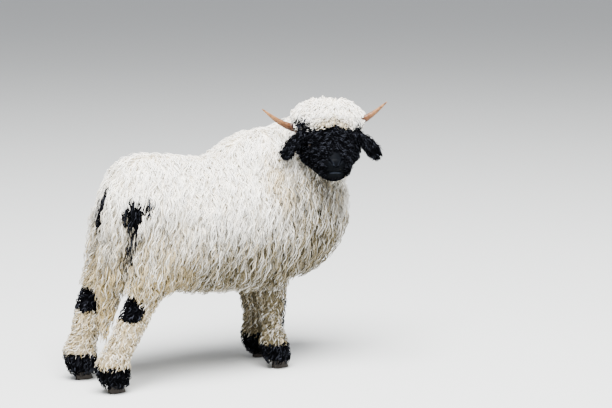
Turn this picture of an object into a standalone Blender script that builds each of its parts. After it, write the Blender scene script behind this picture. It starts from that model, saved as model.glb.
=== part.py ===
"""A young Valais Blacknose sheep, life size, standing with its head turned back over its right side.

Metres, +Z up. The sheep faces -Y, +X is its left side, and its hooves stand on z = 0.
The flesh is lofted and flowed into one skin, the wool is set on it clump by clump, and the whole is
then parted into nodes. Each node is one closed piece, with GAP between it and its neighbours.
"""

import math
import random

import bmesh
import bpy
import numpy as np
from mathutils import Vector
from mathutils.bvhtree import BVHTree

# Driving sizes
GAP = 0.0003
SEED = 7
TORSO_SIDES, NECK_SIDES, LIMB_SIDES, HEAD_SIDES, CLUMP_SIDES = 24, 20, 12, 20, 8
# Cells, smoothing and triangles of the even meshes: flesh, fleece, tail and forelock
FLESH_VOXEL, FLESH_SMOOTHING, FLESH_TRIANGLES = 0.012, 12, 1100
FLEECE_VOXEL, FINE_VOXEL, CLUMP_SMOOTHING = 0.007, 0.004, 2
FLEECE_TRIANGLES, TAIL_TRIANGLES, CAP_TRIANGLES = 6500, 500, 680
# How much wider than leg, tail and crown the regions are that hold them and clear the body of them
REGION_EASE, TAIL_EASE, CAP_EASE = 0.012, 0.008, 0.004
# Depth of the wool over the core, on the body, legs, crown and tail
COAT_CORE, LEG_CORE, CAP_CORE, TAIL_CORE = 0.034, 0.016, 0.015, 0.016
# Length, half width and spacing of the clumps
BODY_CLUMP = (0.165, 0.050, 0.086)
LEG_CLUMP = (0.080, 0.026, 0.060)
TAIL_CLUMP = (0.140, 0.036, 0.078)
# The body's wool ends at the hem. Over the back it rises less from a higher core
HEM, BACK, BACK_RISE, TOP_SHARE = 0.262, 0.655, 0.85, 0.55

# Trunk envelope at the tips of the wool: y, lowest z, highest z, half width
TRUNK = (
    (0.300, 0.470, 0.600, 0.060),
    (0.265, 0.395, 0.700, 0.135),
    (0.200, 0.330, 0.752, 0.180),
    (0.100, 0.290, 0.765, 0.207),
    (-0.020, 0.268, 0.757, 0.220),
    (-0.140, 0.258, 0.755, 0.222),
    (-0.260, 0.262, 0.762, 0.215),
    (-0.370, 0.285, 0.760, 0.200),
    (-0.470, 0.325, 0.745, 0.175),
    (-0.555, 0.385, 0.705, 0.135),
    (-0.605, 0.440, 0.650, 0.085),
    (-0.620, 0.490, 0.600, 0.040),
)

# Neck envelope: centre, half width, reach to the nape and to the throat
NECK = (
    ((0.0, -0.090, 0.545), 0.150, 0.120, 0.140),
    ((0.0, -0.190, 0.595), 0.180, 0.165, 0.190),
    ((0.0, -0.295, 0.630), 0.185, 0.188, 0.220),
    ((0.0, -0.395, 0.668), 0.172, 0.170, 0.225),
    ((-0.024, -0.465, 0.728), 0.140, 0.140, 0.185),
    ((-0.070, -0.490, 0.785), 0.104, 0.106, 0.125),
    ((-0.108, -0.495, 0.820), 0.066, 0.070, 0.070),
)
# The plane that parts the neck from the trunk, from the withers down to the breast
NECK_PART_AT = (0.0, -0.250, 0.690)
NECK_PART_NORMAL = (0.0, -0.62, 0.785)

# Head: centre of the skull between the eyes, how far it turns and nods, and its sections
SKULL = (-0.186, -0.455, 0.769)
HEAD_TURN = 117.0
HEAD_NOD = 38.0
# distance along the face, half width, height above and below the axis
HEAD = (
    (-0.100, 0.036, 0.030, 0.040),
    (-0.082, 0.062, 0.054, 0.066),
    (-0.045, 0.084, 0.070, 0.086),
    (-0.005, 0.091, 0.070, 0.092),
    (0.030, 0.083, 0.060, 0.087),
    (0.065, 0.070, 0.050, 0.078),
    (0.095, 0.057, 0.043, 0.066),
    (0.120, 0.046, 0.038, 0.055),
    (0.138, 0.038, 0.031, 0.045),
    (0.148, 0.024, 0.018, 0.030),
)
EYE_RADIUS = 0.0135
EYE_AT = (0.018, 0.0625, 0.022)
HORN_BASE_RADIUS = 0.0205
HORN_RINGS = 7
# The dome of wool on the crown, and its locks: how many, degrees down to their roots, length, half width
CAP_AT, CAP_RADII = (-0.080, 0.0, 0.060), (0.080, 0.136, 0.068)
CAP_LOCKS, CAP_ROOT, CAP_LENGTH, CAP_HALF = 12, 13, 0.120, 0.034

# Legs: foot place, and the half widths of the woolled column at each height
FOOT_TOP = 0.088
COLLAR = 0.036
FRONT_LEGS = {"left": (0.088, -0.330), "right": (-0.095, -0.297)}
HIND_LEGS = {"left": ((0.117, 0.350), (0.117, 0.283)), "right": ((-0.119, 0.349), (-0.119, 0.238))}
FRONT_PART, HIND_PART = 0.310, 0.345
KNEE_HEIGHT, KNEE_SIZE = 0.200, (0.046, 0.030, 0.052)
HOCK_HEIGHT, HOCK_SIZE = 0.270, (0.062, 0.046, 0.048)
LEG_NAMES = {"front": "foreleg", "hind": "hindleg"}
PAD_NAMES = {"front": "knee", "hind": "hock"}
CLAW = {"length": 0.062, "width": 0.0215, "split": 0.003}

TAIL = (
    ((-0.010, 0.228, 0.665), 0.040, 0.020),
    ((-0.020, 0.254, 0.640), 0.058, 0.032),
    ((-0.030, 0.270, 0.560), 0.068, 0.035),
    ((-0.025, 0.280, 0.450), 0.060, 0.035),
    ((-0.015, 0.290, 0.330), 0.048, 0.034),
    ((-0.005, 0.298, 0.230), 0.032, 0.028),
    ((0.000, 0.302, 0.175), 0.012, 0.012),
)
# The black patches of the rump, one on each side of the tail
RUMP_PATCH = {"left": (0.086, 0.268, 0.560), "right": (-0.136, 0.256, 0.560)}
RUMP_PATCH_SIZE = (0.036, 0.060, 0.062)

WOOL = (0.90, 0.86, 0.77)
BLACK_WOOL = (0.018, 0.017, 0.018)
HORN = (0.42, 0.27, 0.14)
HOOF = (0.10, 0.085, 0.07)
EYE = (0.30, 0.17, 0.05)


def material(name, colour, roughness):
    made = bpy.data.materials.new(name)
    made.use_nodes = True
    shader = made.node_tree.nodes["Principled BSDF"]
    shader.inputs["Base Color"].default_value = (*colour, 1)
    shader.inputs["Roughness"].default_value = roughness
    return made


def eased(rows, count):
    """Rows of numbers along a form, drawn through by a Catmull-Rom curve and read at count even places."""
    rows = np.array(rows, float)
    padded = np.vstack([2 * rows[0] - rows[1], rows, 2 * rows[-1] - rows[-2]])
    made = []
    for place in np.linspace(0, len(rows) - 1, count):
        k = min(int(place), len(rows) - 2)
        t = place - k
        a, b, c, d = padded[k : k + 4]
        curve = (2 * a - 5 * b + 4 * c - d) * t**2 + (3 * b - a - 3 * c + d) * t**3
        made.append((2 * b + (c - a) * t + curve) / 2)
    return np.array(made)


def section(centre, across, upward, half_across, half_up, half_down, sides, fullness=2.0, start=0.0):
    """A closed outline about centre: half_up above the axis, half_down below, squarer as fullness grows."""
    angle = start + np.arange(sides) * 2 * math.pi / sides
    c, s = np.cos(angle), np.sin(angle)
    power = 2 / fullness
    x = half_across * np.sign(c) * np.abs(c) ** power
    y = np.where(s > 0, half_up, half_down) * np.sign(s) * np.abs(s) ** power
    return np.array(centre) + np.outer(x, across) + np.outer(y, upward)


def closed_mesh(name, rings):
    """Rings of points joined by triangles into one closed form with flat ends, its faces pointing out."""
    mesh = bpy.data.meshes.new(name)
    bm = bmesh.new()
    rows = [[bm.verts.new(p) for p in ring] for ring in rings]
    sides = len(rows[0])
    for low, high in zip(rows, rows[1:]):
        for i in range(sides):
            j = (i + 1) % sides
            bm.faces.new((low[i], low[j], high[j]))
            bm.faces.new((low[i], high[j], high[i]))
    bm.faces.new(rows[0])
    bm.faces.new(rows[-1])
    bmesh.ops.recalc_face_normals(bm, faces=bm.faces)
    bm.to_mesh(mesh)
    bm.free()
    obj = bpy.data.objects.new(name, mesh)
    bpy.context.scene.collection.objects.link(obj)
    return obj


def ball(name, centre, radii, axes=None, segments=16):
    """An ellipsoid about centre, its radii along three axes."""
    axes = np.eye(3) if axes is None else np.array(axes)
    rows = segments // 2
    rings = []
    for k in range(1, rows):
        t = math.pi * k / rows
        angle = np.arange(segments) * 2 * math.pi / segments
        level = np.full(segments, math.cos(t))
        local = np.stack([np.cos(angle) * math.sin(t), np.sin(angle) * math.sin(t), level], 1)
        rings.append(np.array(centre) + (local * np.array(radii)) @ axes)
    return closed_mesh(name, rings)


def is_closed(mesh):
    """Whether a mesh has faces and every edge joins just two of them."""
    bm = bmesh.new()
    bm.from_mesh(mesh)
    closed = len(bm.faces) > 0 and all(len(e.link_faces) == 2 for e in bm.edges)
    bm.free()
    return closed


def combine(target, others, operation):
    """One Boolean of target with every mesh in others, applied, with the others then removed.

    The wool is too much for the EXACT solver, so MANIFOLD comes first, and EXACT where that leaves
    a result open.
    """
    group = bpy.data.collections.new("pieces")
    bpy.context.scene.collection.children.link(group)
    for other in others:
        group.objects.link(other)
    before = target.data
    for solver in ("MANIFOLD", "EXACT"):
        target.data = before
        step = target.modifiers.new("combine", "BOOLEAN")
        step.operation = operation
        step.operand_type = "COLLECTION"
        step.collection = group
        step.solver = solver
        bake(target)
        if is_closed(target.data):
            break
    for other in others:
        bpy.data.objects.remove(other)
    bpy.data.collections.remove(group)
    return target


def bake(obj):
    """Replaces an object's mesh by what its modifiers make of it."""
    bpy.context.view_layer.update()
    graph = bpy.context.evaluated_depsgraph_get()
    mesh = bpy.data.meshes.new_from_object(obj.evaluated_get(graph))
    obj.modifiers.clear()
    obj.data = mesh


def copy_of(obj, name):
    made = bpy.data.objects.new(name, obj.data.copy())
    bpy.context.scene.collection.objects.link(made)
    return made


def slice_at(obj, point, normal, keep_inside=True):
    """Cuts obj by a plane and closes the cut. keep_inside keeps the side against the normal."""
    bm = bmesh.new()
    bm.from_mesh(obj.data)
    whole = bm.verts[:] + bm.edges[:] + bm.faces[:]
    cut = bmesh.ops.bisect_plane(
        bm, geom=whole, plane_co=point, plane_no=normal, clear_outer=keep_inside, clear_inner=not keep_inside
    )
    edges = [g for g in cut["geom_cut"] if isinstance(g, bmesh.types.BMEdge)]
    bmesh.ops.holes_fill(bm, edges=edges)
    bmesh.ops.recalc_face_normals(bm, faces=bm.faces)
    bm.to_mesh(obj.data)
    bm.free()
    return obj


def largest_piece(obj):
    """Drops loose scraps, so that the node stays one closed body."""
    bm = bmesh.new()
    bm.from_mesh(obj.data)
    bmesh.ops.remove_doubles(bm, verts=bm.verts, dist=1e-6)
    left = set(bm.verts)
    groups = []
    while left:
        stack = [left.pop()]
        group = set(stack)
        while stack:
            for edge in stack.pop().link_edges:
                for vert in edge.verts:
                    if vert in left:
                        left.discard(vert)
                        group.add(vert)
                        stack.append(vert)
        groups.append(group)
    keep = max(groups, key=len)
    bmesh.ops.delete(bm, geom=[v for v in bm.verts if v not in keep], context="VERTS")
    bm.to_mesh(obj.data)
    bm.free()
    return obj


def inset_size(size, inset):
    """Half width, upper and lower reach of the flesh, less the depth of wool over each."""
    half, above, below = size
    return [max(0.02, v) for v in (half - inset, above - inset * TOP_SHARE, below - inset)]


def trunk_form(name, inset):
    """The trunk from buttocks to breast, as upright sections."""
    rings = []
    for y, low, high, half in eased(TRUNK, 17):
        middle, height = (low + high) / 2, (high - low) / 2
        size = inset_size((half, height, height), inset)
        rings.append(section((0, y, middle), (1, 0, 0), (0, 0, 1), *size, TORSO_SIDES, 2.25))
    shrink = inset * 0.8
    for ring in rings[:2]:
        ring[:, 1] -= shrink
    for ring in rings[-2:]:
        ring[:, 1] += shrink
    return closed_mesh(name, rings)


def neck_form(name, inset):
    """The neck from inside the shoulders to the poll, as sections square to its path."""
    rows = eased([(*c, a, b, t) for c, a, b, t in NECK], 12)
    path = rows[:, :3]
    along = np.gradient(path, axis=0)
    rings = []
    for centre, way, (half, nape, throat) in zip(path, along, rows[:, 3:]):
        way = way / np.linalg.norm(way)
        across = np.cross(way, (0, 0, 1))
        across /= np.linalg.norm(across)
        upward = np.cross(across, way)
        size = inset_size((half, nape, throat), inset)
        rings.append(section(centre, across, upward, *size, NECK_SIDES, 2.1))
    return closed_mesh(name, rings)


def column_form(name, rows, inset, sides=LIMB_SIDES, count=12):
    """An upright limb or tail, as level sections: centre, half width and half depth at each height.

    An inset fades out towards the foot, where the wool is short.
    """
    rings = []
    for x, y, z, half, depth in eased([(*c, a, b) for c, a, b in rows], count):
        depth_in = inset * min(1, max(0, (z - FOOT_TOP) / 0.04)) if inset > 0 else inset
        size = [max(0.008, v - depth_in) for v in (half, depth, depth)]
        rings.append(section((x, y, z), (1, 0, 0), (0, 1, 0), *size, sides))
    return closed_mesh(name, rings)


def flesh_form(name, inset, leg_inset):
    """Trunk, neck and legs flowed into one skin: joined, meshed evenly, smoothed and thinned out."""
    body = trunk_form(name, inset)
    parts = [neck_form("part", inset)]
    for side in ("left", "right"):
        parts.append(column_form("part", front_leg_rows(side), leg_inset))
        parts.append(column_form("part", hind_leg_rows(side), leg_inset))
    combine(body, parts, "UNION")
    return even_out(body, FLESH_VOXEL, FLESH_SMOOTHING, FLESH_TRIANGLES)


def surface_of(obj):
    """The tree of an object's triangles, for the nearest point and its normal."""
    bm = bmesh.new()
    bm.from_mesh(obj.data)
    bmesh.ops.triangulate(bm, faces=bm.faces)
    bm.normal_update()
    tree = BVHTree.FromBMesh(bm)
    bm.free()
    return tree


def spread_roots(obj, spacing, wanted, seed):
    """Points over obj in random order, kept where wanted says so and no nearer than spacing allows."""
    draw = np.random.default_rng(seed)
    mesh = obj.data
    mesh.calc_loop_triangles()
    places = np.array([v.co for v in mesh.vertices])
    corners = places[np.array([t.vertices for t in mesh.loop_triangles])]
    crossed = np.cross(corners[:, 1] - corners[:, 0], corners[:, 2] - corners[:, 0])
    area = np.linalg.norm(crossed, axis=1)
    picked = draw.choice(len(area), 9000, p=area / area.sum())
    a, b = np.sqrt(draw.random(9000)), draw.random(9000)
    shares = np.stack([1 - a, a * (1 - b), a * b], 1)
    points = (corners[picked] * shares[:, :, None]).sum(1)
    normals = crossed[picked] / area[picked][:, None]
    kept = np.empty((0, 3))
    roots = []
    for point, normal in zip(points, normals):
        if not wanted(point, normal):
            continue
        if len(kept) and np.linalg.norm(kept - point, axis=1).min() < spacing(point):
            continue
        kept = np.vstack([kept, point])
        roots.append((point, normal))
    return roots


def clump(tree, root, lie, length, width, rise, draw):
    """One rounded, tapering lock of wool that lies along the surface and bends with it.

    It walks from the root in short steps along lie, its underside sunk in the surface and its back at
    rise above it, and ends in a narrow tip that stands a little free.
    """
    # share of the length, of the width, height of the middle and half thickness as shares of rise
    profile = (
        (0.0, 0.50, -0.20, 0.36),
        (0.16, 0.80, 0.10, 0.56),
        (0.34, 1.0, 0.34, 0.66),
        (0.58, 1.0, 0.44, 0.62),
        (0.80, 0.78, 0.50, 0.48),
    )
    sway = draw.uniform(-0.5, 0.5)
    point, last = Vector(root), 0
    rings = []
    for share, wide, height, thick in (*profile, (1.0, 0.34, 0.56, 0.20)):
        near, normal, _, _ = tree.find_nearest(point)
        way = lie(np.array(near), np.array(normal))
        way = way + np.cross(np.array(normal), way) * sway * math.sin(3.4 * share)
        way /= np.linalg.norm(way)
        if share > last:
            point = near + Vector(way) * (share - last) * length
            near, normal, _, _ = tree.find_nearest(point)
            last = share
        normal = np.array(normal)
        across = np.cross(way, normal)
        across /= np.linalg.norm(across)
        up = np.cross(across, way)
        centre = np.array(near) + normal * height * rise
        half = width * wide * draw.uniform(0.93, 1.07)
        rings.append(section(centre, across, up, half, thick * rise, thick * rise, CLUMP_SIDES))
    return closed_mesh("clump", rings)


def lie_of_fleece(point, normal):
    """The wool hangs down the flanks, parted along the spine, and drifts a little towards the tail."""
    parted = max(-1.0, min(1.0, point[0] / 0.08))
    flat = max(0.0, normal[2])
    way = np.array((1.3 * parted * flat, 0.22 + 0.4 * flat, -1.0))
    way -= normal * way.dot(normal)
    return way / max(1e-6, np.linalg.norm(way))


def clothe(core, lie, wanted, wool_at, voxel, triangles, seed):
    """Sets clumps close over a core, joins them to it in one go and meshes the joined surface anew.

    wool_at gives length, half width, spacing and rise of the wool at a place.
    """
    tree = surface_of(core)
    draw = random.Random(seed)
    clumps = []
    for point, normal in spread_roots(core, lambda p: wool_at(p)[2], wanted, seed):
        length, width, _, rise = wool_at(point)
        clumps.append(clump(tree, point, lie, length * draw.uniform(0.88, 1.12), width, rise, draw))
    combine(core, clumps, "UNION")
    return even_out(core, voxel, CLUMP_SMOOTHING, triangles)


def even_out(obj, voxel, smoothing, triangles):
    """Meshes a joined form anew in even cells, smooths it and collapses edges down to so many triangles."""
    evened = obj.modifiers.new("evened", "REMESH")
    evened.mode = "VOXEL"
    evened.voxel_size = voxel
    smoothed = obj.modifiers.new("smoothed", "SMOOTH")
    smoothed.factor, smoothed.iterations = 0.5, smoothing
    bake(obj)
    largest_piece(obj)
    thinned = obj.modifiers.new("thinned", "DECIMATE")
    thinned.ratio = min(1, triangles / sum(len(p.vertices) - 2 for p in obj.data.polygons))
    bake(obj)
    return obj


def front_leg_rows(side):
    x, y = FRONT_LEGS[side]
    return (
        ((x, y + 0.012, 0.480), 0.085, 0.105),
        ((x, y + 0.016, 0.380), 0.070, 0.082),
        ((x, y + 0.014, 0.300), 0.052, 0.058),
        ((x, y + 0.004, 0.215), 0.043, 0.046),
        ((x, y + 0.002, 0.150), 0.036, 0.038),
        ((x, y, 0.095), 0.037, 0.040),
        ((x, y - 0.010, 0.055), 0.034, 0.040),
        ((x, y - 0.016, 0.036), 0.030, 0.036),
        ((x, y - 0.018, 0.015), 0.026, 0.032),
    )


def hind_leg_rows(side):
    (x, y), (hx, hy) = HIND_LEGS[side]
    return (
        ((hx * 0.80, hy - 0.124, 0.560), 0.082, 0.118),
        ((hx * 0.90, hy - 0.109, 0.460), 0.084, 0.116),
        ((hx, hy - 0.072, 0.375), 0.064, 0.090),
        ((hx, hy - 0.026, 0.315), 0.049, 0.060),
        ((hx, hy + 0.004, 0.265), 0.049, 0.056),
        (((hx + x) / 2, (hy + y) / 2 - 0.004, 0.180), 0.048, 0.050),
        ((x, y - 0.010, 0.100), 0.047, 0.048),
        ((x, y - 0.016, 0.060), 0.038, 0.042),
        ((x, y - 0.020, 0.036), 0.032, 0.037),
        ((x, y - 0.022, 0.015), 0.027, 0.033),
    )


def head_axes():
    """Forward, left and up of the head, turned to the sheep's right and nodding."""
    turn, nod = math.radians(HEAD_TURN), math.radians(HEAD_NOD)
    level = np.array((-math.sin(turn), -math.cos(turn), 0.0))
    forward = level * math.cos(nod) + np.array((0, 0, -math.sin(nod)))
    upward = level * math.sin(nod) + np.array((0, 0, math.cos(nod)))
    return forward, np.cross(upward, forward), upward


def at_head(forward, left, upward):
    """A point given in the head's own directions."""
    f, l, u = head_axes()
    return np.array(SKULL) + forward * f + left * l + upward * u


def head_form(name, extra):
    """The skull and face, as sections square to the line of the face."""
    f, l, u = head_axes()
    rings = []
    rows = eased(HEAD, 15)
    for s, half, above, below in rows:
        size = (half + extra, above + extra, below + extra)
        rings.append(section(at_head(s, 0, 0), l, u, *size, HEAD_SIDES, 2.2))
    rings[0] = rings[0] - f * extra
    rings[-1] = rings[-1] + f * extra
    return closed_mesh(name, rings)


def face_line(points, count):
    """Head points through which a groove or ridge runs."""
    return [at_head(*p) for p in eased(points, count)]


def rod(name, path, radius, sides=6):
    """A round rod along a path of points; radius may change along it."""
    path = np.array(path)
    along = np.gradient(path, axis=0)
    radii = np.broadcast_to(radius, len(path))
    hint = np.array((0.31, 0.17, 0.93))
    rings = []
    for centre, way, r in zip(path, along, radii):
        way = way / np.linalg.norm(way)
        across = np.cross(way, hint)
        across /= np.linalg.norm(across)
        rings.append(section(centre, across, np.cross(way, across), r, r, r, sides))
    return closed_mesh(name, rings)


def head_mass(extra):
    """The head with the swell of its lids, before any cut."""
    pieces = [head_form("head", extra)]
    for side in (1, -1):
        eye = at_head(EYE_AT[0], side * EYE_AT[1], EYE_AT[2])
        pieces.append(ball("lid", eye, (EYE_RADIUS + 0.0045 + extra,) * 3, segments=12))
    return pieces


def build_head():
    f, l, u = head_axes()
    head, *lids = head_mass(0)
    combine(head, lids, "UNION")
    cuts = []
    for side in (1, -1):
        eye = at_head(EYE_AT[0], side * EYE_AT[1], EYE_AT[2])
        out = l * side * 0.90 + f * 0.38 + u * 0.12
        out /= np.linalg.norm(out)
        across = np.cross(u, out)
        across /= np.linalg.norm(across)
        slit = eye + out * (EYE_RADIUS + 0.004)
        cuts.append(ball("slit", slit, (0.0125, 0.0062, 0.010), (across, np.cross(out, across), out), 12))
        cuts.append(ball("socket", eye, (EYE_RADIUS + 1.5 * GAP,) * 3, segments=12))
        places = ((0.150, side * 0.008, 0.002), (0.146, side * 0.015, 0.010), (0.137, side * 0.024, 0.015))
        nostril = face_line(places, 6)
        cuts.append(rod("nostril", nostril, np.interp(np.arange(6), (0, 2, 5), (0.0015, 0.0042, 0.0022))))
    mouth = (
        (0.085, 0.0585, -0.034),
        (0.112, 0.0465, -0.029),
        (0.132, 0.036, -0.025),
        (0.147, 0.018, -0.0205),
        (0.152, 0.0, -0.0175),
        (0.147, -0.018, -0.0205),
        (0.132, -0.036, -0.025),
        (0.112, -0.0465, -0.029),
        (0.085, -0.0585, -0.034),
    )
    cuts.append(rod("mouth", face_line(mouth, 17), 0.0024, 5))
    philtrum = face_line(((0.155, 0, -0.017), (0.153, 0, -0.008), (0.152, 0, 0.0)), 4)
    cuts.append(rod("philtrum", philtrum, 0.0016))
    return combine(head, cuts, "DIFFERENCE")


def ear_form(name, side, extra, cup):
    """A drooping ear: a leaf of flat sections out from the side of the poll."""
    root = at_head(-0.030, side * 0.062, 0.028)
    tip = at_head(-0.015, side * 0.182, -0.062)
    way = (tip - root) / np.linalg.norm(tip - root)
    f, l, u = head_axes()
    face = f * 0.75 - u * 0.15 + l * side * 0.45
    face -= way * face.dot(way)
    face /= np.linalg.norm(face)
    across = np.cross(way, face)
    length = np.linalg.norm(tip - root)
    # share of the length, half width, half thickness
    leaf = (
        (0, 0.015, 0.012),
        (0.2, 0.021, 0.013),
        (0.5, 0.028, 0.012),
        (0.8, 0.023, 0.009),
        (0.96, 0.010, 0.005),
    )
    rings = []
    for share, wide, thick in eased(leaf, 9):
        centre = root + way * length * share + face * 0.012 * math.sin(math.pi * share)
        if cup:
            centre = centre + face * (thick * 1.15)
            wide, thick = wide * 0.66, thick * 1.0
        rings.append(section(centre, across, face, wide + extra, thick + extra, thick + extra, 12))
    return closed_mesh(name, rings[2:-1] if cup else rings)


def build_ear(side_name, side):
    ear = ear_form(f"ear_{side_name}", side, 0, False)
    return combine(ear, [ear_form("cup", side, 0, True), *head_mass(GAP)], "DIFFERENCE")


def horn_form(name, side, extra):
    """A short horn that leaves the poll sideways and turns up and back, with growth rings."""
    path = eased(
        [
            at_head(-0.050, side * 0.045, 0.038),
            at_head(-0.056, side * 0.090, 0.043),
            at_head(-0.062, side * 0.135, 0.052),
            at_head(-0.070, side * 0.178, 0.072),
            at_head(-0.085, side * 0.215, 0.105),
        ],
        3 * HORN_RINGS + 1,
    )
    share = np.linspace(0, 1, len(path))
    swell = 1 + 0.045 * np.cos(share * HORN_RINGS * 2 * math.pi)
    radius = (HORN_BASE_RADIUS * (1 - share) ** 0.8 + 0.0022) * (swell if extra == 0 else 1.05)
    return rod(name, path, radius + extra, 8)


def build_horn(side_name, side):
    return combine(horn_form(f"horn_{side_name}", side, 0), head_mass(GAP), "DIFFERENCE")


def build_eye(side_name, side):
    return ball(
        f"eye_{side_name}", at_head(EYE_AT[0], side * EYE_AT[1], EYE_AT[2]), (EYE_RADIUS,) * 3, segments=12
    )


def on_cap(around, down, extra):
    """A point of the crown's dome: around it from the brow, and down from its top, in degrees."""
    f, l, u = head_axes()
    a, d = math.radians(around), math.radians(down)
    reach = np.array(CAP_RADII) + extra
    middle = at_head(*CAP_AT)
    level = f * reach[0] * math.cos(a) + l * reach[1] * math.sin(a)
    return middle + level * math.sin(d) + u * reach[2] * math.cos(d)


def cap_form(name, extra, segments=14):
    """The dome of wool over the crown, from the brow over the poll."""
    return ball(name, at_head(*CAP_AT), [v + extra for v in CAP_RADII], head_axes(), segments)


def lie_of_forelock(point, normal):
    """The crown's wool falls away from the poll: forward over the brow and down both sides."""
    f, l, u = head_axes()
    away = point - at_head(*CAP_AT)
    way = away - u * away.dot(u) + f * 0.01 - np.array((0, 0, 0.03))
    way -= normal * way.dot(normal)
    return way / max(1e-6, np.linalg.norm(way))


def build_forelock():
    """Locks that fall to all sides from the top of a small dome, side by side."""
    cap = cap_form("forelock", -CAP_CORE, 10)
    tree = surface_of(cap)
    draw = random.Random(SEED + 1)
    locks = []
    for k in range(CAP_LOCKS):
        around = (k + draw.uniform(-0.15, 0.15)) * 360 / CAP_LOCKS
        root = on_cap(around, CAP_ROOT, -CAP_CORE)
        length = CAP_LENGTH * draw.uniform(0.9, 1.1)
        locks.append(clump(tree, root, lie_of_forelock, length, CAP_HALF, CAP_CORE, draw))
    combine(cap, locks, "UNION")
    even_out(cap, FINE_VOXEL, CLUMP_SMOOTHING, CAP_TRIANGLES)
    combine(cap, [cap_form("cap", CAP_EASE)], "INTERSECT")
    clear = head_mass(GAP)
    for side in (1, -1):
        clear.append(horn_form("horn", side, GAP))
        clear.append(ear_form("ear", side, GAP, False))
    return combine(cap, clear, "DIFFERENCE")


def fleece_wanted(point, normal):
    """No clumps on the short-woolled feet, nor flat under the belly or where the head grows out."""
    if point[2] < FOOT_TOP + 0.02:
        return False
    if point[2] > HEM and normal[2] < -0.72:
        return False
    return np.linalg.norm(point - at_head(-0.045, 0, 0)) > 0.115


def fleece_at(point):
    """Long wool on the body, short wool on the legs that ends above the black feet."""
    if point[2] > HEM:
        return (*BODY_CLUMP, COAT_CORE * (BACK_RISE if point[2] > BACK else 1.0))
    length, width, spacing = LEG_CLUMP
    return min(length, point[2] - FOOT_TOP), width, spacing, LEG_CORE


def build_flesh():
    core = flesh_form("flesh", COAT_CORE, LEG_CORE)
    return clothe(core, lie_of_fleece, fleece_wanted, fleece_at, FLEECE_VOXEL, FLEECE_TRIANGLES, SEED)


def leg_region(kind, side, extra):
    """The column of space that one leg takes out of the body, up to its parting height."""
    if kind == "front":
        rows, part = front_leg_rows(side)[1:], FRONT_PART
    else:
        rows, part = hind_leg_rows(side)[2:], HIND_PART
    column = column_form("region", rows, -REGION_EASE - extra, 10, 8)
    return slice_at(column, (0, 0, part + extra), (0, 0, 1), True)


def tail_region(extra):
    return column_form("region", TAIL, -TAIL_EASE - extra, 10, 8)


def rump_region(side, extra):
    return ball("patch", RUMP_PATCH[side], [v + extra for v in RUMP_PATCH_SIZE], segments=10)


def pad_region(kind, side, extra):
    """A rounded space on the front of a knee or the back of a hock: its black patch."""
    if kind == "front":
        x, y = FRONT_LEGS[side]
        centre, size = (x, y - 0.034, KNEE_HEIGHT), KNEE_SIZE
    else:
        x, y = HIND_LEGS[side][1]
        centre, size = (x, y + 0.034, HOCK_HEIGHT), HOCK_SIZE
    return ball("pad", centre, [v + extra for v in size], segments=10)


def build_torso(flesh):
    torso = copy_of(flesh, "torso")
    clear = [tail_region(GAP)]
    clear += [leg_region(kind, side, GAP) for kind in ("front", "hind") for side in ("left", "right")]
    clear += [rump_region(side, GAP) for side in ("left", "right")]
    combine(torso, clear, "DIFFERENCE")
    return slice_at(largest_piece(torso), NECK_PART_AT, NECK_PART_NORMAL, True)


def build_rump_patch(flesh, side):
    """The black patch beside the tail: a shallow plug of the fleece."""
    patch = combine(copy_of(flesh, f"rump_patch_{side}"), [rump_region(side, 0)], "INTERSECT")
    return combine(largest_piece(patch), [tail_region(GAP)], "DIFFERENCE")


def build_neck(flesh):
    neck = copy_of(flesh, "neck")
    normal = Vector(NECK_PART_NORMAL).normalized()
    slice_at(neck, Vector(NECK_PART_AT) + normal * GAP, normal, False)
    clear = [*head_mass(GAP), cap_form("cap", CAP_EASE + GAP)]
    for side in (1, -1):
        clear.append(horn_form("horn", side, GAP))
        clear.append(ear_form("ear", side, GAP, False))
    return combine(neck, clear, "DIFFERENCE")


def build_leg(flesh, kind, side):
    """A woolled leg down to its black foot, the black patch of its knee or hock, and the foot."""
    leg = combine(copy_of(flesh, f"{LEG_NAMES[kind]}_{side}"), [leg_region(kind, side, 0)], "INTERSECT")
    if kind == "hind":
        combine(leg, [tail_region(GAP)], "DIFFERENCE")
    largest_piece(leg)
    patch = copy_of(leg, f"{PAD_NAMES[kind]}_{side}")
    foot = copy_of(leg, f"foot_{kind}_{side}")
    slice_at(leg, (0, 0, FOOT_TOP + GAP), (0, 0, 1), False)
    slice_at(foot, (0, 0, FOOT_TOP), (0, 0, 1), True)
    slice_at(foot, (0, 0, COLLAR), (0, 0, 1), False)
    combine(leg, [pad_region(kind, side, GAP)], "DIFFERENCE")
    combine(patch, [pad_region(kind, side, 0)], "INTERSECT")
    return leg, patch, foot


def build_claw(kind, side, which):
    """Half of a cloven hoof: a wedge with a flat sole, its toe towards -Y."""
    x, y = FRONT_LEGS[side] if kind == "front" else HIND_LEGS[side][0]
    inward = -1 if side == "left" else 1
    way = inward if which == "inner" else -inward
    centre = x + way * (CLAW["width"] + CLAW["split"]) / 2
    top = COLLAR - GAP
    length, width = CLAW["length"], CLAW["width"]
    rings = []
    for z, reach, back, wide in ((0, 0, 0, 1), (0.012, -0.004, 0.001, 0.98), (top, -0.016, 0.004, 0.84)):
        toe, heel = y - 0.022 - length * 0.58 - reach, y - 0.022 + length * 0.42 - back
        rings.append(claw_outline(centre, toe, heel, z, width * wide / 2, -way))
    return closed_mesh(f"claw_{kind}_{side}_{which}", rings)


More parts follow.
